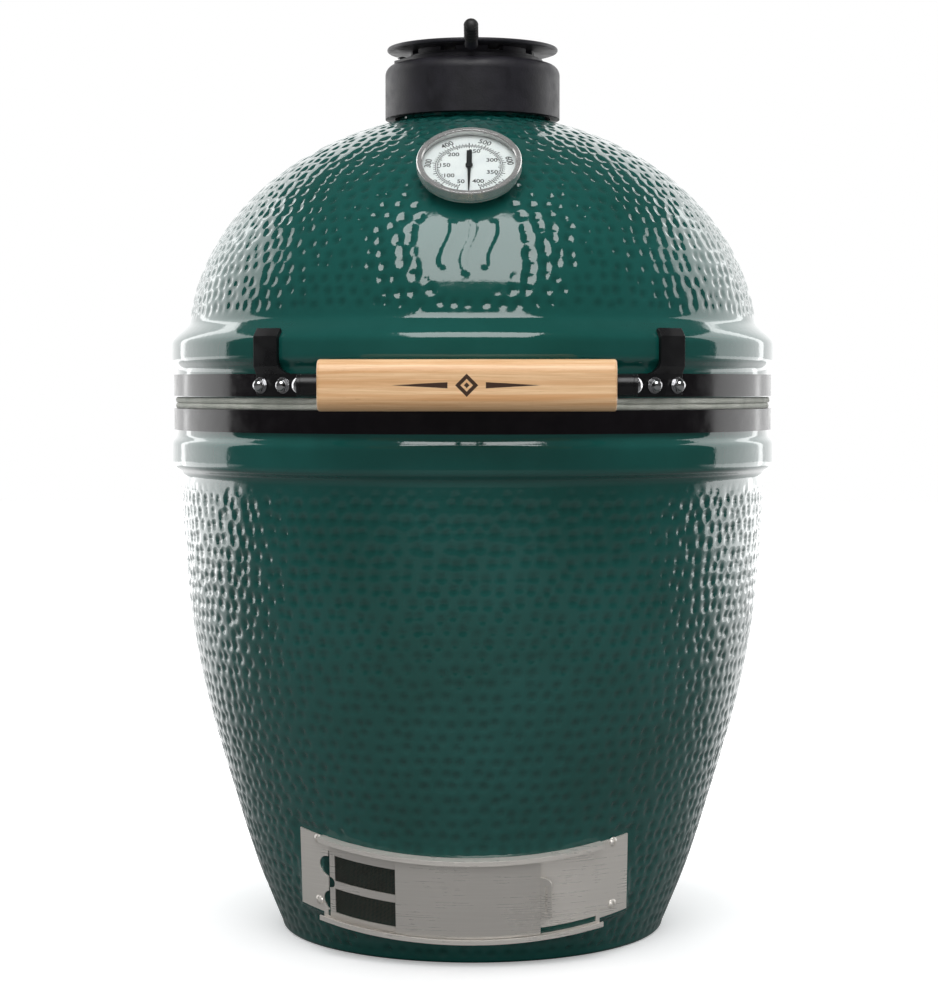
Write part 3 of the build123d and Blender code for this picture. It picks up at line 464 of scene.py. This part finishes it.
def flow(points, closed, soften=0.8 * MM, turn=math.radians(9)):
    """A smooth curve through an outline: corners soften a little, and it bends little per point."""
    if closed:
        points = np.vstack([points, points[:1]])
    keep = np.r_[True, np.linalg.norm(np.diff(points, axis=0), axis=1) > SAME_POINT]
    points = points[keep]
    heading = np.unwrap(np.arctan2(*np.diff(points, axis=0).T[::-1]))
    corner = np.r_[True, np.abs(np.diff(heading)) > SHARP_TURN, True]
    breaks = np.flatnonzero(corner)
    fine, dense = 0.25 * MM, []
    for first, last in zip(breaks[:-1], breaks[1:]):
        run = points[first:last + 1]
        t = np.r_[0, np.cumsum(np.linalg.norm(np.diff(run, axis=0), axis=1))]
        at = np.linspace(0, t[-1], max(2, int(t[-1] / fine)), endpoint=False)
        slope = np.gradient(run, t, axis=0) if len(run) > 2 else np.diff(run, axis=0) / t[-1]
        slope = np.broadcast_to(slope, run.shape)
        i = np.clip(np.searchsorted(t, at, side="right") - 1, 0, len(run) - 2)
        h = (t[i + 1] - t[i])[:, None]
        u = ((at - t[i]) / (t[i + 1] - t[i]))[:, None]
        dense.append((2 * u**3 - 3 * u**2 + 1) * run[i] + (u**3 - 2 * u**2 + u) * h * slope[i]
                     + (3 * u**2 - 2 * u**3) * run[i + 1] + (u**3 - u**2) * h * slope[i + 1])
    dense = np.vstack(dense + ([] if closed else [points[-1:]]))
    reach = int(3 * soften / fine)
    weight = np.exp(-0.5 * (np.arange(-reach, reach + 1) * fine / soften) ** 2)
    weight /= weight.sum()
    padded = np.pad(dense, ((reach, reach), (0, 0)), mode="wrap" if closed else "edge")
    smooth = np.stack([np.convolve(padded[:, k], weight, mode="valid") for k in (0, 1)], -1)
    if np.sum(smooth[:-1, 0] * smooth[1:, 1] - smooth[:-1, 1] * smooth[1:, 0]) < 0:
        smooth = smooth[::-1]
    way = np.gradient(smooth, axis=0)
    heading = np.unwrap(np.arctan2(*way.T[::-1]))
    outer = way[:, 1] * smooth[:, 0] - way[:, 0] * (smooth[:, 1] - SHELL_MIDDLE) > 0
    chosen, start = [0], 0
    for k in range(1, len(smooth)):
        far = (k - start) * fine
        step = SHELL_STEP if outer[k] else INNER_STEP
        if far >= step or (far >= 2 * fine and abs(heading[k] - heading[start]) > turn):
            chosen.append(k)
            start = k
    if not closed:
        chosen[-1] = len(smooth) - 1
    return smooth[chosen]


def tubes(paths, across, radius, sides):
    """Vertices and faces of round bars along open paths; across gives each path's first normal."""
    verts, faces = [], []
    for path, first in zip(paths, across):
        path = np.asarray(path)
        along = np.gradient(path, axis=0)
        along /= np.linalg.norm(along, axis=1)[:, None]
        side = first - (first * along).sum(1)[:, None] * along
        side /= np.linalg.norm(side, axis=1)[:, None]
        up = np.cross(along, side)
        start = sum(len(v) for v in verts)
        turn = np.arange(sides) * math.tau / sides
        ring = (path[:, None, :] + radius * (np.cos(turn)[None, :, None] * side[:, None, :]
                                             + np.sin(turn)[None, :, None] * up[:, None, :]))
        verts.append(ring.reshape(-1, 3))
        faces += (grid_faces(len(path), sides, False) + start).tolist()
        faces.append([start + k for k in range(sides)][::-1])
        faces.append([start + (len(path) - 1) * sides + k for k in range(sides)])
    return np.vstack(verts), faces


# ---- Ceramic shells ----------------------------------------------------------------------------
def dimple_centres(outline, low, high, seed):
    """Pit centres in staggered rows on the outer skin between two heights."""
    draw = random.Random(seed)
    steps = np.r_[0, np.cumsum(np.linalg.norm(np.diff(outline, axis=0), axis=1))]
    within = (outline[:, 1] >= low) & (outline[:, 1] <= high)
    first = int(np.argmax(within))
    last = first + int(np.argmin(np.r_[within[first:], False])) - 1
    centres = []
    s = steps[first]
    while s <= steps[last]:
        radius = float(np.interp(s, steps, outline[:, 0]))
        count = max(6, round(math.tau * radius / DIMPLE_SPACING))
        offset = draw.random()
        for k in range(count):
            stray = draw.uniform(-DIMPLE_STRAY_ROUND, DIMPLE_STRAY_ROUND)
            a = (k + offset + stray) * math.tau / count
            place = s + draw.uniform(-DIMPLE_STRAY_ALONG, DIMPLE_STRAY_ALONG)
            r = float(np.interp(place, steps, outline[:, 0]))
            z = float(np.interp(place, steps, outline[:, 1]))
            size, depth = draw.uniform(*DIMPLE_RADIUS), draw.uniform(*DIMPLE_DEPTH)
            centres.append((Vector((r * math.sin(a), -r * math.cos(a), z)), size, depth))
        s += DIMPLE_ROW
    return centres


def pits(points, centres, strength):
    """How deep each point is sunk, from the pit nearest to it."""
    tree = kdtree.KDTree(len(centres))
    for k, (centre, _, _) in enumerate(centres):
        tree.insert(centre, k)
    tree.balance()
    sunk = np.zeros(len(points))
    for k in np.flatnonzero(strength > 0):
        _, which, far = tree.find(points[k])
        _, size, depth = centres[which]
        if far < size:
            sunk[k] = depth * strength[k] * (1 - (far / size) ** 2) ** 1.25
    return sunk


def ease(value, low, high):
    """0 below low, 1 above high, smooth between."""
    t = np.clip((value - low) / (high - low), 0, 1)
    return t * t * (3 - 2 * t)


def outer_normals(outline, closed, columns):
    """Outward normals of the turned outline, one per vertex."""
    if closed:
        way = np.roll(outline, -1, axis=0) - np.roll(outline, 1, axis=0)
    else:
        way = np.gradient(outline, axis=0)
    way /= np.linalg.norm(way, axis=1)[:, None]
    angle = np.arange(columns) * math.tau / columns
    r, z = way[:, 1][:, None], -way[:, 0][:, None]
    return np.stack([r * np.sin(angle), -r * np.cos(angle), z + 0 * angle], -1).reshape(-1, 3)


def ceramic(name, node, heights, fade, seed):
    """A shell with the CAD node's section and a dimpled skin; fade gives the dimples' strength."""
    points, closed = section(node, PLAIN_AZIMUTH)
    outline = flow(points, closed)
    verts, faces = spun(outline, SHELL_COLUMNS, closed)
    normals = outer_normals(outline, closed, SHELL_COLUMNS)
    centres = dimple_centres(outline, *heights, seed)
    outside = (normals[:, :2] * verts[:, :2]).sum(1) > 0
    strength = np.where(outside, fade(verts), 0)
    if node == "base_shell":
        seated, share = vent_pad(verts, outside)
        relief = -pits(verts, centres, strength * (1 - share))
    else:
        seated = verts
        relief = motif(verts, outside) - pits(verts, centres, strength)
    return new_object(name, seated + normals * relief[:, None], faces), centres


def motif(verts, outside):
    """Height of the raised heat waves on the dome's smooth patch: three wavy strokes."""
    height = np.zeros(len(verts))
    front = outside & (verts[:, 1] < 0) & (np.abs(verts[:, 0]) < BADGE_RADIUS)
    x, z = verts[front, 0], verts[front, 2] - BADGE_HEIGHT
    best = np.full(len(x), 1.0)
    for k in (-1, 0, 1):
        middle = k * WAVE_PITCH + WAVE_SWING * np.sin(z / WAVE_LENGTH)
        past = np.maximum(np.abs(z) - (WAVE_HALF_HEIGHT - WAVE_SHORTER * abs(k)), 0)
        best = np.minimum(best, np.hypot(x - middle, past))
    height[front] = WAVE_RELIEF * (1 - ease(best, *WAVE_EDGE))
    return height


def mark_pits(obj, centres, fade):
    """Stores how deep in a pit each vertex lies, for the glaze's painted shade in the pits."""
    points = np.array([v.co for v in obj.data.vertices])
    depth = pits(points, centres, fade(points)) / DIMPLE_DEPTH[1]
    layer = obj.data.attributes.new("pit", "FLOAT", "POINT")
    layer.data.foreach_set("value", depth.astype(np.float32))


def lid_fade(points):
    """Dimples die out at the shoulder, under the collar, and round the smooth patch."""
    low = ease(points[:, 2], *LID_FADE_LOW)
    top = 1 - ease(points[:, 2], *LID_FADE_HIGH)
    across = np.hypot(points[:, 0], points[:, 2] - BADGE_HEIGHT)
    clear = ease(across, BADGE_RADIUS - 4 * MM, BADGE_RADIUS + 2 * MM)
    patch = np.where(points[:, 1] < 0, clear, 1)
    return low * top * patch


def base_fade(points):
    """Dimples die out under the rim and at the foot."""
    return ease(points[:, 2], *BASE_FADE_LOW) * (1 - ease(points[:, 2], *BASE_FADE_HIGH))


def vent_place(phi, r, w):
    """A point of the draft door's tilted cylinder, from angle, radius and height along its axis."""
    phi = np.radians(phi)
    x, y = r * np.sin(phi), -r * np.cos(phi)
    return np.stack([x + 0 * w, y * VENT_COS - w * VENT_SIN,
                     y * VENT_SIN + w * VENT_COS + VENT_Z], -1)


def vent_coordinates(node):
    """A CAD node's vertices as (angle, radius, height) on the draft door's tilted cylinder."""
    co = np.array([v.co for v in frame["nodes"][node].data.vertices])
    y, z = co[:, 1], co[:, 2] - VENT_Z
    across, along = y * VENT_COS + z * VENT_SIN, -y * VENT_SIN + z * VENT_COS
    return np.degrees(np.arctan2(co[:, 0], -across)), np.hypot(co[:, 0], across), along


door_joint = next(j for j in frame["joints"] if j["name"] == "draft_door_slide")
VENT_SIN, VENT_COS = -door_joint["axis"][1], door_joint["axis"][2]
VENT_Z = door_joint["pos_m"][2]

# The seat that the base's skin makes for the draft door's frame.
frame_phi, frame_r, frame_w = vent_coordinates("vent_frame")
SEAT_RADIUS = frame_r.min() - 0.1 * MM
SEAT_START, SEAT_STOP = frame_phi.min(), frame_phi.max()
SEAT_HALF = frame_w.max()
SEAT_BLEND = (1.5 * MM, 9 * MM)  # the skin leaves the seat over these distances from the frame

# The window behind the frame, as the CAD shell has it: angles, heights, and well past both skins.
WINDOW_START, WINDOW_STOP = -36.9, -3.4
WINDOW_LOW, WINDOW_HIGH = -31 * MM, 25 * MM
WINDOW_NEAR, WINDOW_FAR = 150 * MM, 240 * MM
WINDOW_STEPS = 40


def vent_pad(verts, outside):
    """Draws the outer skin onto the draft door's cylinder under its frame, blending out round it."""
    x, y, z = verts[:, 0], verts[:, 1], verts[:, 2] - VENT_Z
    across, along = y * VENT_COS + z * VENT_SIN, -y * VENT_SIN + z * VENT_COS
    radius, phi = np.hypot(x, across), np.degrees(np.arctan2(x, -across))
    per_degree = SEAT_RADIUS * math.pi / 180
    beside = np.maximum(SEAT_START - phi, phi - SEAT_STOP) * per_degree
    gap = np.maximum(beside, np.abs(along) - SEAT_HALF)
    share = np.where(outside & (y < 0), 1 - ease(gap, *SEAT_BLEND), 0)
    moved = radius + (SEAT_RADIUS - radius) * share
    x, across = x * moved / radius, across * moved / radius
    flat = np.stack([x, across * VENT_COS - along * VENT_SIN,
                     across * VENT_SIN + along * VENT_COS + VENT_Z], -1)
    return np.where(share[:, None] > 0, flat, verts), share


def window_block():
    """A curved block on the draft door's cylinder, as big as the window; its faces point inward."""
    phi = np.linspace(WINDOW_START, WINDOW_STOP, WINDOW_STEPS)
    corners = ((WINDOW_NEAR, WINDOW_LOW), (WINDOW_FAR, WINDOW_LOW),
               (WINDOW_FAR, WINDOW_HIGH), (WINDOW_NEAR, WINDOW_HIGH))
    verts = np.stack([vent_place(phi, r, w) for r, w in corners], 1).reshape(-1, 3)
    faces = [[4 * i + k, 4 * i + (k + 1) % 4, 4 * i + 4 + (k + 1) % 4, 4 * i + 4 + k]
             for i in range(WINDOW_STEPS - 1) for k in range(4)]
    faces += [[3, 2, 1, 0], [4 * WINDOW_STEPS - 4 + k for k in range(4)]]
    return new_object("window_block", verts, faces)


def cut_window(shell):
    """Meant to open the draft window behind the frame, but leaves it closed.

    Because the block's faces point inward, the skin stays whole there and gets doubled faces.
    Reversing the order of the block's faces should open it.
    """
    cutter = window_block()
    modifier = shell.modifiers.new("window", "BOOLEAN")
    modifier.operation, modifier.object, modifier.solver = "DIFFERENCE", cutter, "MANIFOLD"
    apply_modifiers(shell)
    bpy.data.objects.remove(cutter)


def build_shells():
    """The glazed dome and base."""
    lid, centres = ceramic("dome_glazed", "lid_shell", LID_DIMPLES, lid_fade, 11)
    mark_pits(lid, centres, lid_fade)
    finish_piece(lid, "lid", "glaze", 50)
    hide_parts("lid_shell")
    base, centres = ceramic("base_glazed", "base_shell", BASE_DIMPLES, base_fade, 12)
    cut_window(base)
    mark_pits(base, centres, base_fade)
    finish_piece(base, "base", "glaze", 50)
    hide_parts("base_shell")


# ---- Draft door --------------------------------------------------------------------------------
def woven_windows():
    """Woven steel wire in the slide's two windows."""
    phi, r, w = vent_coordinates("screen_mesh")
    middle, mid_height = (r.min() + r.max()) / 2, (w.min() + w.max()) / 2
    gap, wave, wire = 1.25 * MM, 0.16 * MM, 0.17 * MM
    paths, across = [], []
    for half in (w[w > mid_height], w[w < mid_height]):
        low, high = half.min(), half.max()
        columns = round(math.radians(phi.max() - phi.min()) * middle / gap)
        rows = round((high - low) / gap)
        turns = np.linspace(phi.min(), phi.max(), 2 * columns + 1)
        heights = np.linspace(low, high, 2 * rows + 1)
        for k in range(1, 2 * rows, 2):
            sway = wave * np.cos(np.pi * np.arange(len(turns)) / 2 + np.pi * (k // 2 % 2))
            paths.append(vent_place(turns, middle + sway, heights[k] + 0 * turns))
            across.append(np.array((0, 0, 1.0)))
        for k in range(1, 2 * columns, 2):
            sway = -wave * np.cos(np.pi * np.arange(len(heights)) / 2 + np.pi * (k // 2 % 2))
            paths.append(vent_place(turns[k] + 0 * heights, middle + sway, heights))
            across.append(np.array((1.0, 0, 0)))
    verts, faces = tubes(paths, across, wire, 4)
    mesh = finish_piece(new_object("woven_windows", verts, faces), "draft_screen", "woven_steel")
    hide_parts("screen_mesh")


def hinge_spring(name, node):
    """A close-wound tension spring with a loop at each end, hung on the base."""
    lo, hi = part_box(node)
    x, y = (lo.x + hi.x) / 2, (lo.y + hi.y) / 2
    wire, radius, loop = 1.5 * MM, 8.6 * MM, 6.4 * MM
    low, high = lo.z + 2 * loop + 2 * wire, hi.z - 2 * loop - 2 * wire
    turns, steps = 30, 18
    t = np.linspace(0, 1, turns * steps + 1)
    turn = math.tau * turns * t
    coil = np.stack([x + radius * np.cos(turn), y + radius * np.sin(turn),
                     low + (high - low) * t], -1)
    arc = np.linspace(-0.5 * math.pi, 1.35 * math.pi, 20)
    eye = np.stack([x + 0 * arc, y + loop * np.cos(arc), loop * np.sin(arc)], -1)
    lower_eye = eye * (1, 1, -1) + (0, 0, low - loop)
    upper_eye = eye + (0, 0, high + loop)
    path = np.vstack([lower_eye[::-1], coil, upper_eye])
    verts, faces = tubes([path], [np.array((0.0, 0.3, 1.0))], wire, 8)
    spring = finish_piece(new_object(name, verts, faces), "base", "spring_steel")
    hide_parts(node)
    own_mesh(spring)


# ---- Felt gaskets ------------------------------------------------------------------------------
FELT_WIDTH = 22 * MM


def felt_ring(name, node, body, seed):
    """A strip of felt with a soft, slightly wandering edge."""
    lo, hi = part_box(node)
    outer, inner, nose = hi.x, hi.x - FELT_WIDTH, 1.6 * MM
    draw = np.random.default_rng(seed)
    columns, middle, half = 720, (lo.z + hi.z) / 2, (hi.z - lo.z) / 2
    turn = np.linspace(-0.5 * math.pi, 0.5 * math.pi, 9)
    edge = [(outer - nose + nose * math.cos(a), middle + half * math.sin(a)) for a in turn]
    outline = np.array([(inner, middle - half)] + edge + [(inner, middle + half)])
    verts, faces = spun(outline, columns, True)
    rows = len(outline)
    fuzz = draw.normal(size=(rows, columns))
    fuzz = fuzz + np.roll(fuzz, 1, axis=1) + np.roll(fuzz, -1, axis=1)
    thrice = np.tile(draw.normal(size=columns), 3)  # so that the wander closes on itself
    slow = np.convolve(thrice, np.hanning(41), mode="same")[columns:2 * columns]
    push = (fuzz * 0.09 + 0.05 * slow[None, :]) * MM
    push[[0, -1]] = 0
    out = np.array(verts).reshape(rows, columns, 3)
    radial = out[..., :2] / np.linalg.norm(out[..., :2], axis=-1)[..., None]
    out[..., :2] += radial * push[..., None]
    ring = finish_piece(new_object(name, out.reshape(-1, 3), faces), body, "felt", 60)
    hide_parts(node)


# ---- Thermometer -------------------------------------------------------------------------------
# Each number with its place on the dial, clockwise from the top.
OUTER_NUMBERS = (("200", 230), ("300", 277), ("400", 327), ("500", 22), ("600", 77), ("700", 129))
INNER_NUMBERS = (("50", 199), ("100", 235), ("150", 275), ("200", 320), ("250", 12), ("300", 66),
                 ("350", 111), ("400", 158))
PRINT_GAP, PRINT_THICKNESS = 0.06 * MM, 0.08 * MM


def dial_frame():
    """Where the dial is: its centre, its right, its up and its outward normal."""
    dial = np.array([v.co for v in frame["nodes"]["thermometer_dial"].data.vertices])
    centre = Vector(dial.min(0) + dial.max(0)) / 2
    flat = dial - dial.mean(0)
    normal = Vector(np.linalg.svd(flat, full_matrices=False)[2][2])
    normal = normal if normal.y < 0 else -normal
    right = Vector((1, 0, 0))
    up = normal.cross(right)
    face = max(Vector(v) @ normal for v in dial)
    return centre + normal * (face - centre @ normal), right, up, normal


def print_on_dial(name, shapes):
    """Joins flat outlines given in the dial's plane into one thin printed piece."""
    centre, right, up, normal = dial_frame()
    verts, faces = [], []
    for points, polygons in shapes:
        base = len(verts)
        for px, py in points:
            verts.append(centre + right * px + up * py + normal * PRINT_GAP)
        faces += [[base + k for k in polygon] for polygon in polygons]
    piece = finish_piece(new_object(name, verts, faces), "lid", "pointer_black")
    piece.data.shade_flat()
    thick = piece.modifiers.new("thick", "SOLIDIFY")
    thick.thickness, thick.offset = PRINT_THICKNESS, 0
    apply_modifiers(piece)
    return piece


def clock(angle, radius):
    """A point on the dial at an angle clockwise from the top."""
    a = math.radians(angle)
    return radius * math.sin(a), radius * math.cos(a)


def arc_strip(start, stop, radius, width):
    """A thin curved line round the dial."""
    steps = int((stop - start) / 3)
    points = []
    for angle in np.linspace(start, stop, steps):
        points += [clock(angle, radius - width / 2), clock(angle, radius + width / 2)]
    return points, [[2 * k, 2 * k + 1, 2 * k + 3, 2 * k + 2] for k in range(steps - 1)]


def tick(angle, inner, outer, width):
    """A short line across the scale."""
    (ax, ay), (bx, by) = clock(angle, inner), clock(angle, outer)
    dx, dy = clock(angle + 90, width / 2)
    corners = [(ax - dx, ay - dy), (bx - dx, by - dy), (bx + dx, by + dy), (ax + dx, ay + dy)]
    return corners, [[0, 1, 2, 3]]


def number(text, angle, radius, height, turned):
    """A printed number, upright or turned to stand on the scale."""
    curve = bpy.data.curves.new("number", "FONT")
    curve.body, curve.size, curve.offset = text, height * 1.38, 0.09 * MM
    curve.align_x = curve.align_y = "CENTER"
    obj = bpy.data.objects.new("number", curve)
    mesh = bpy.data.meshes.new_from_object(obj)
    x, y = clock(angle, radius)
    lean = -math.radians(angle) if turned else 0
    c, s = math.cos(lean), math.sin(lean)
    points = [(x + v.co.x * c - v.co.y * s, y + v.co.x * s + v.co.y * c) for v in mesh.vertices]
    polygons = [list(p.vertices) for p in mesh.polygons]
    bpy.data.objects.remove(obj)
    bpy.data.curves.remove(curve)
    return points, polygons


def scale_ticks(count, start, stop, foot, long, short):
    """Evenly spaced ticks from one radius; every fifth is longer and heavier."""
    shapes = []
    for k in range(count + 1):
        length, width = (long, 0.8 * MM) if k % 5 == 0 else (short, 0.55 * MM)
        inner, outer = sorted((foot, foot + length))
        shapes.append(tick(start + (stop - start) * k / count, inner, outer, width))
    return shapes


def build_dial():
    """The double scale: an outer one in its own units and an inner one, with ticks and numbers."""
    low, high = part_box("thermometer_bezel")
    radius = (high.x - low.x) / 2
    outer, inner = 0.64 * radius, 0.61 * radius
    start, stop, line = 198, 521, 0.5 * MM
    shapes = [arc_strip(start, stop, outer, line), arc_strip(start, stop, inner, line)]
    shapes += scale_ticks(60, start, stop, outer, 3.2 * MM, 2.0 * MM)
    shapes += scale_ticks(70, start, stop, inner, -2.6 * MM, -1.6 * MM)
    for text, angle in OUTER_NUMBERS:
        shapes.append(number(text, angle, 0.78 * radius, 5.4 * MM, True))
    for text, angle in INNER_NUMBERS:
        shapes.append(number(text, angle, 0.47 * radius, 4.7 * MM, False))
    print_on_dial("dial_scale", shapes)


# ---- CAD pieces that keep their own shape ------------------------------------------------------
def dress_cad():
    """Gives every CAD piece the material its slot names."""
    slots = {s["node"]: s["material_slot"] for s in frame["record"]["subparts"]}
    for name, obj in frame["nodes"].items():
        obj.data.materials.clear()
        obj.data.materials.append(LOOKS[slots[name]])


# ---- Stage -------------------------------------------------------------------------------------
def area_light(name, place, target, size, radiance):
    """A soft rectangle of light that aims at a point; radiance is how bright its face looks."""
    data = bpy.data.lights.new(name, "AREA")
    data.shape, data.size, data.size_y = "RECTANGLE", size[0], size[1]
    data.energy = radiance * size[0] * size[1] * math.pi
    obj = bpy.data.objects.new(name, data)
    obj.location = place
    obj.rotation_euler = (Vector(target) - Vector(place)).to_track_quat("-Z", "Y").to_euler()
    bpy.context.scene.collection.objects.link(obj)
    return obj


def floor_look():
    """A pale floor that fades to white; the grill sees it darker in front and bright behind."""
    look = Look("floor_paint")
    seen = look.add("ShaderNodeLightPath").outputs["Is Camera Ray"]
    tone = look.blend(look.spread(look.noise(3, 4), 0.3, 0.7), rgb(242, 242, 242), rgb(248, 248, 248))
    away = look.add("ShaderNodeVectorMath", {0: look.stretch(1, 1, 0)}, operation="LENGTH")
    fade = look.spread(away.outputs["Value"], 0.25, 0.85, 0.25, 1.0)
    behind = look.add("ShaderNodeSeparateXYZ", {0: look.stretch(1, 1, 1)}).outputs["Y"]
    glow = look.spread(behind, 0.1, 0.8, 0.0, 0.9)
    lit = look.calc("ADD", look.calc("MULTIPLY", seen, fade),
                    look.calc("MULTIPLY", look.calc("SUBTRACT", 1.0, seen), glow))
    return look.set(Base_Color=look.blend(seen, rgb(118, 118, 118), tone), Roughness=0.85,
                    Emission_Color=(1, 1, 1, 1), Emission_Strength=lit)


def build_world():
    """White to the camera, soft to matt surfaces and nearly black to glossy ones."""
    world = bpy.data.worlds.new("studio")
    bpy.context.scene.world = world
    world.use_nodes = True
    nodes, links = world.node_tree.nodes, world.node_tree.links
    path = nodes.new("ShaderNodeLightPath")
    soft = nodes["Background"]
    sheen, plain = nodes.new("ShaderNodeBackground"), nodes.new("ShaderNodeBackground")
    for node, colour, strength in ((soft, (0.96, 0.98, 1.0, 1), 0.5), (sheen, (1, 1, 1, 1), 0.08),
                                   (plain, (1, 1, 1, 1), 1.0)):
        node.inputs[0].default_value, node.inputs[1].default_value = colour, strength
    matt, final = nodes.new("ShaderNodeMixShader"), nodes.new("ShaderNodeMixShader")
    for mix, share, low, high in ((matt, "Is Glossy Ray", soft, sheen),
                                  (final, "Is Camera Ray", matt, plain)):
        links.new(path.outputs[share], mix.inputs[0])
        links.new(low.outputs[0], mix.inputs[1])
        links.new(high.outputs[0], mix.inputs[2])
    links.new(final.outputs[0], nodes["World Output"].inputs[0])


def build_stage():
    """The floor, the white surroundings and the lights."""
    reach = 8
    corners = [(-reach, -reach, 0), (reach, -reach, 0), (reach, reach, 0), (-reach, reach, 0)]
    floor = new_object("floor", corners, [(0, 1, 2, 3)])
    floor.data.materials.append(floor_look())
    build_world()
    area_light("front_softbox", (0, -1.35, 2.2), (0, 0, 0.5), (1.5, 1.5), 4.2)
    fill = area_light("front_fill", (0, -2.4, 0.45), (0, 0, 0.4), (2.4, 1.0), 1.1)
    fill.visible_glossy = False  # it lifts the colour without laying a veil on the glaze
    area_light("white_wall", (0, 2.6, 1.5), (0, 0, 1.5), (5.4, 3.2), 1.25)
    for side in (-1, 1):
        area_light(f"side_panel_{side + 1}", (side * 2.0, 1.05, 1.0), (0, 0, 0.5), (1.7, 2.2), 1.6)
    card = area_light("door_card", (0.1, -1.0, 0.02), (0, -0.2, 0.1), (0.42, 0.5), 5.5)
    lit = bpy.data.collections.new("lit_by_door_card")  # the draft door's frame and its screws
    for name in ("vent_frame", "vent_screws"):
        lit.objects.link(frame["nodes"][name])
    card.light_linking.receiver_collection = lit
    bpy.context.scene.view_settings.view_transform = "Standard"


def build_camera():
    """The photograph's view: nearly straight on, a little above the middle; angles in degrees."""
    distance, height, azimuth, pitch, yaw = 2.2346, 0.4917, 0.8, 2.573, 0.082
    data = bpy.data.cameras.new("camera")
    data.sensor_width, data.lens = 36, 88.98
    camera = bpy.data.objects.new("camera", data)
    a = math.radians(azimuth)
    camera.location = (distance * math.sin(a), -distance * math.cos(a), height)
    camera.rotation_euler = (math.radians(90 - pitch), 0, math.radians(azimuth + yaw))
    bpy.context.scene.collection.objects.link(camera)
    bpy.context.scene.camera = camera


dress_cad()
build_shells()
woven_windows()
felt_ring("base_felt", "base_gasket", "base", 21)
felt_ring("lid_felt", "lid_gasket", "lid", 22)
hinge_spring("spring_left", "hinge_spring_left")
hinge_spring("spring_right", "hinge_spring_right")
build_dial()
build_stage()
build_camera()
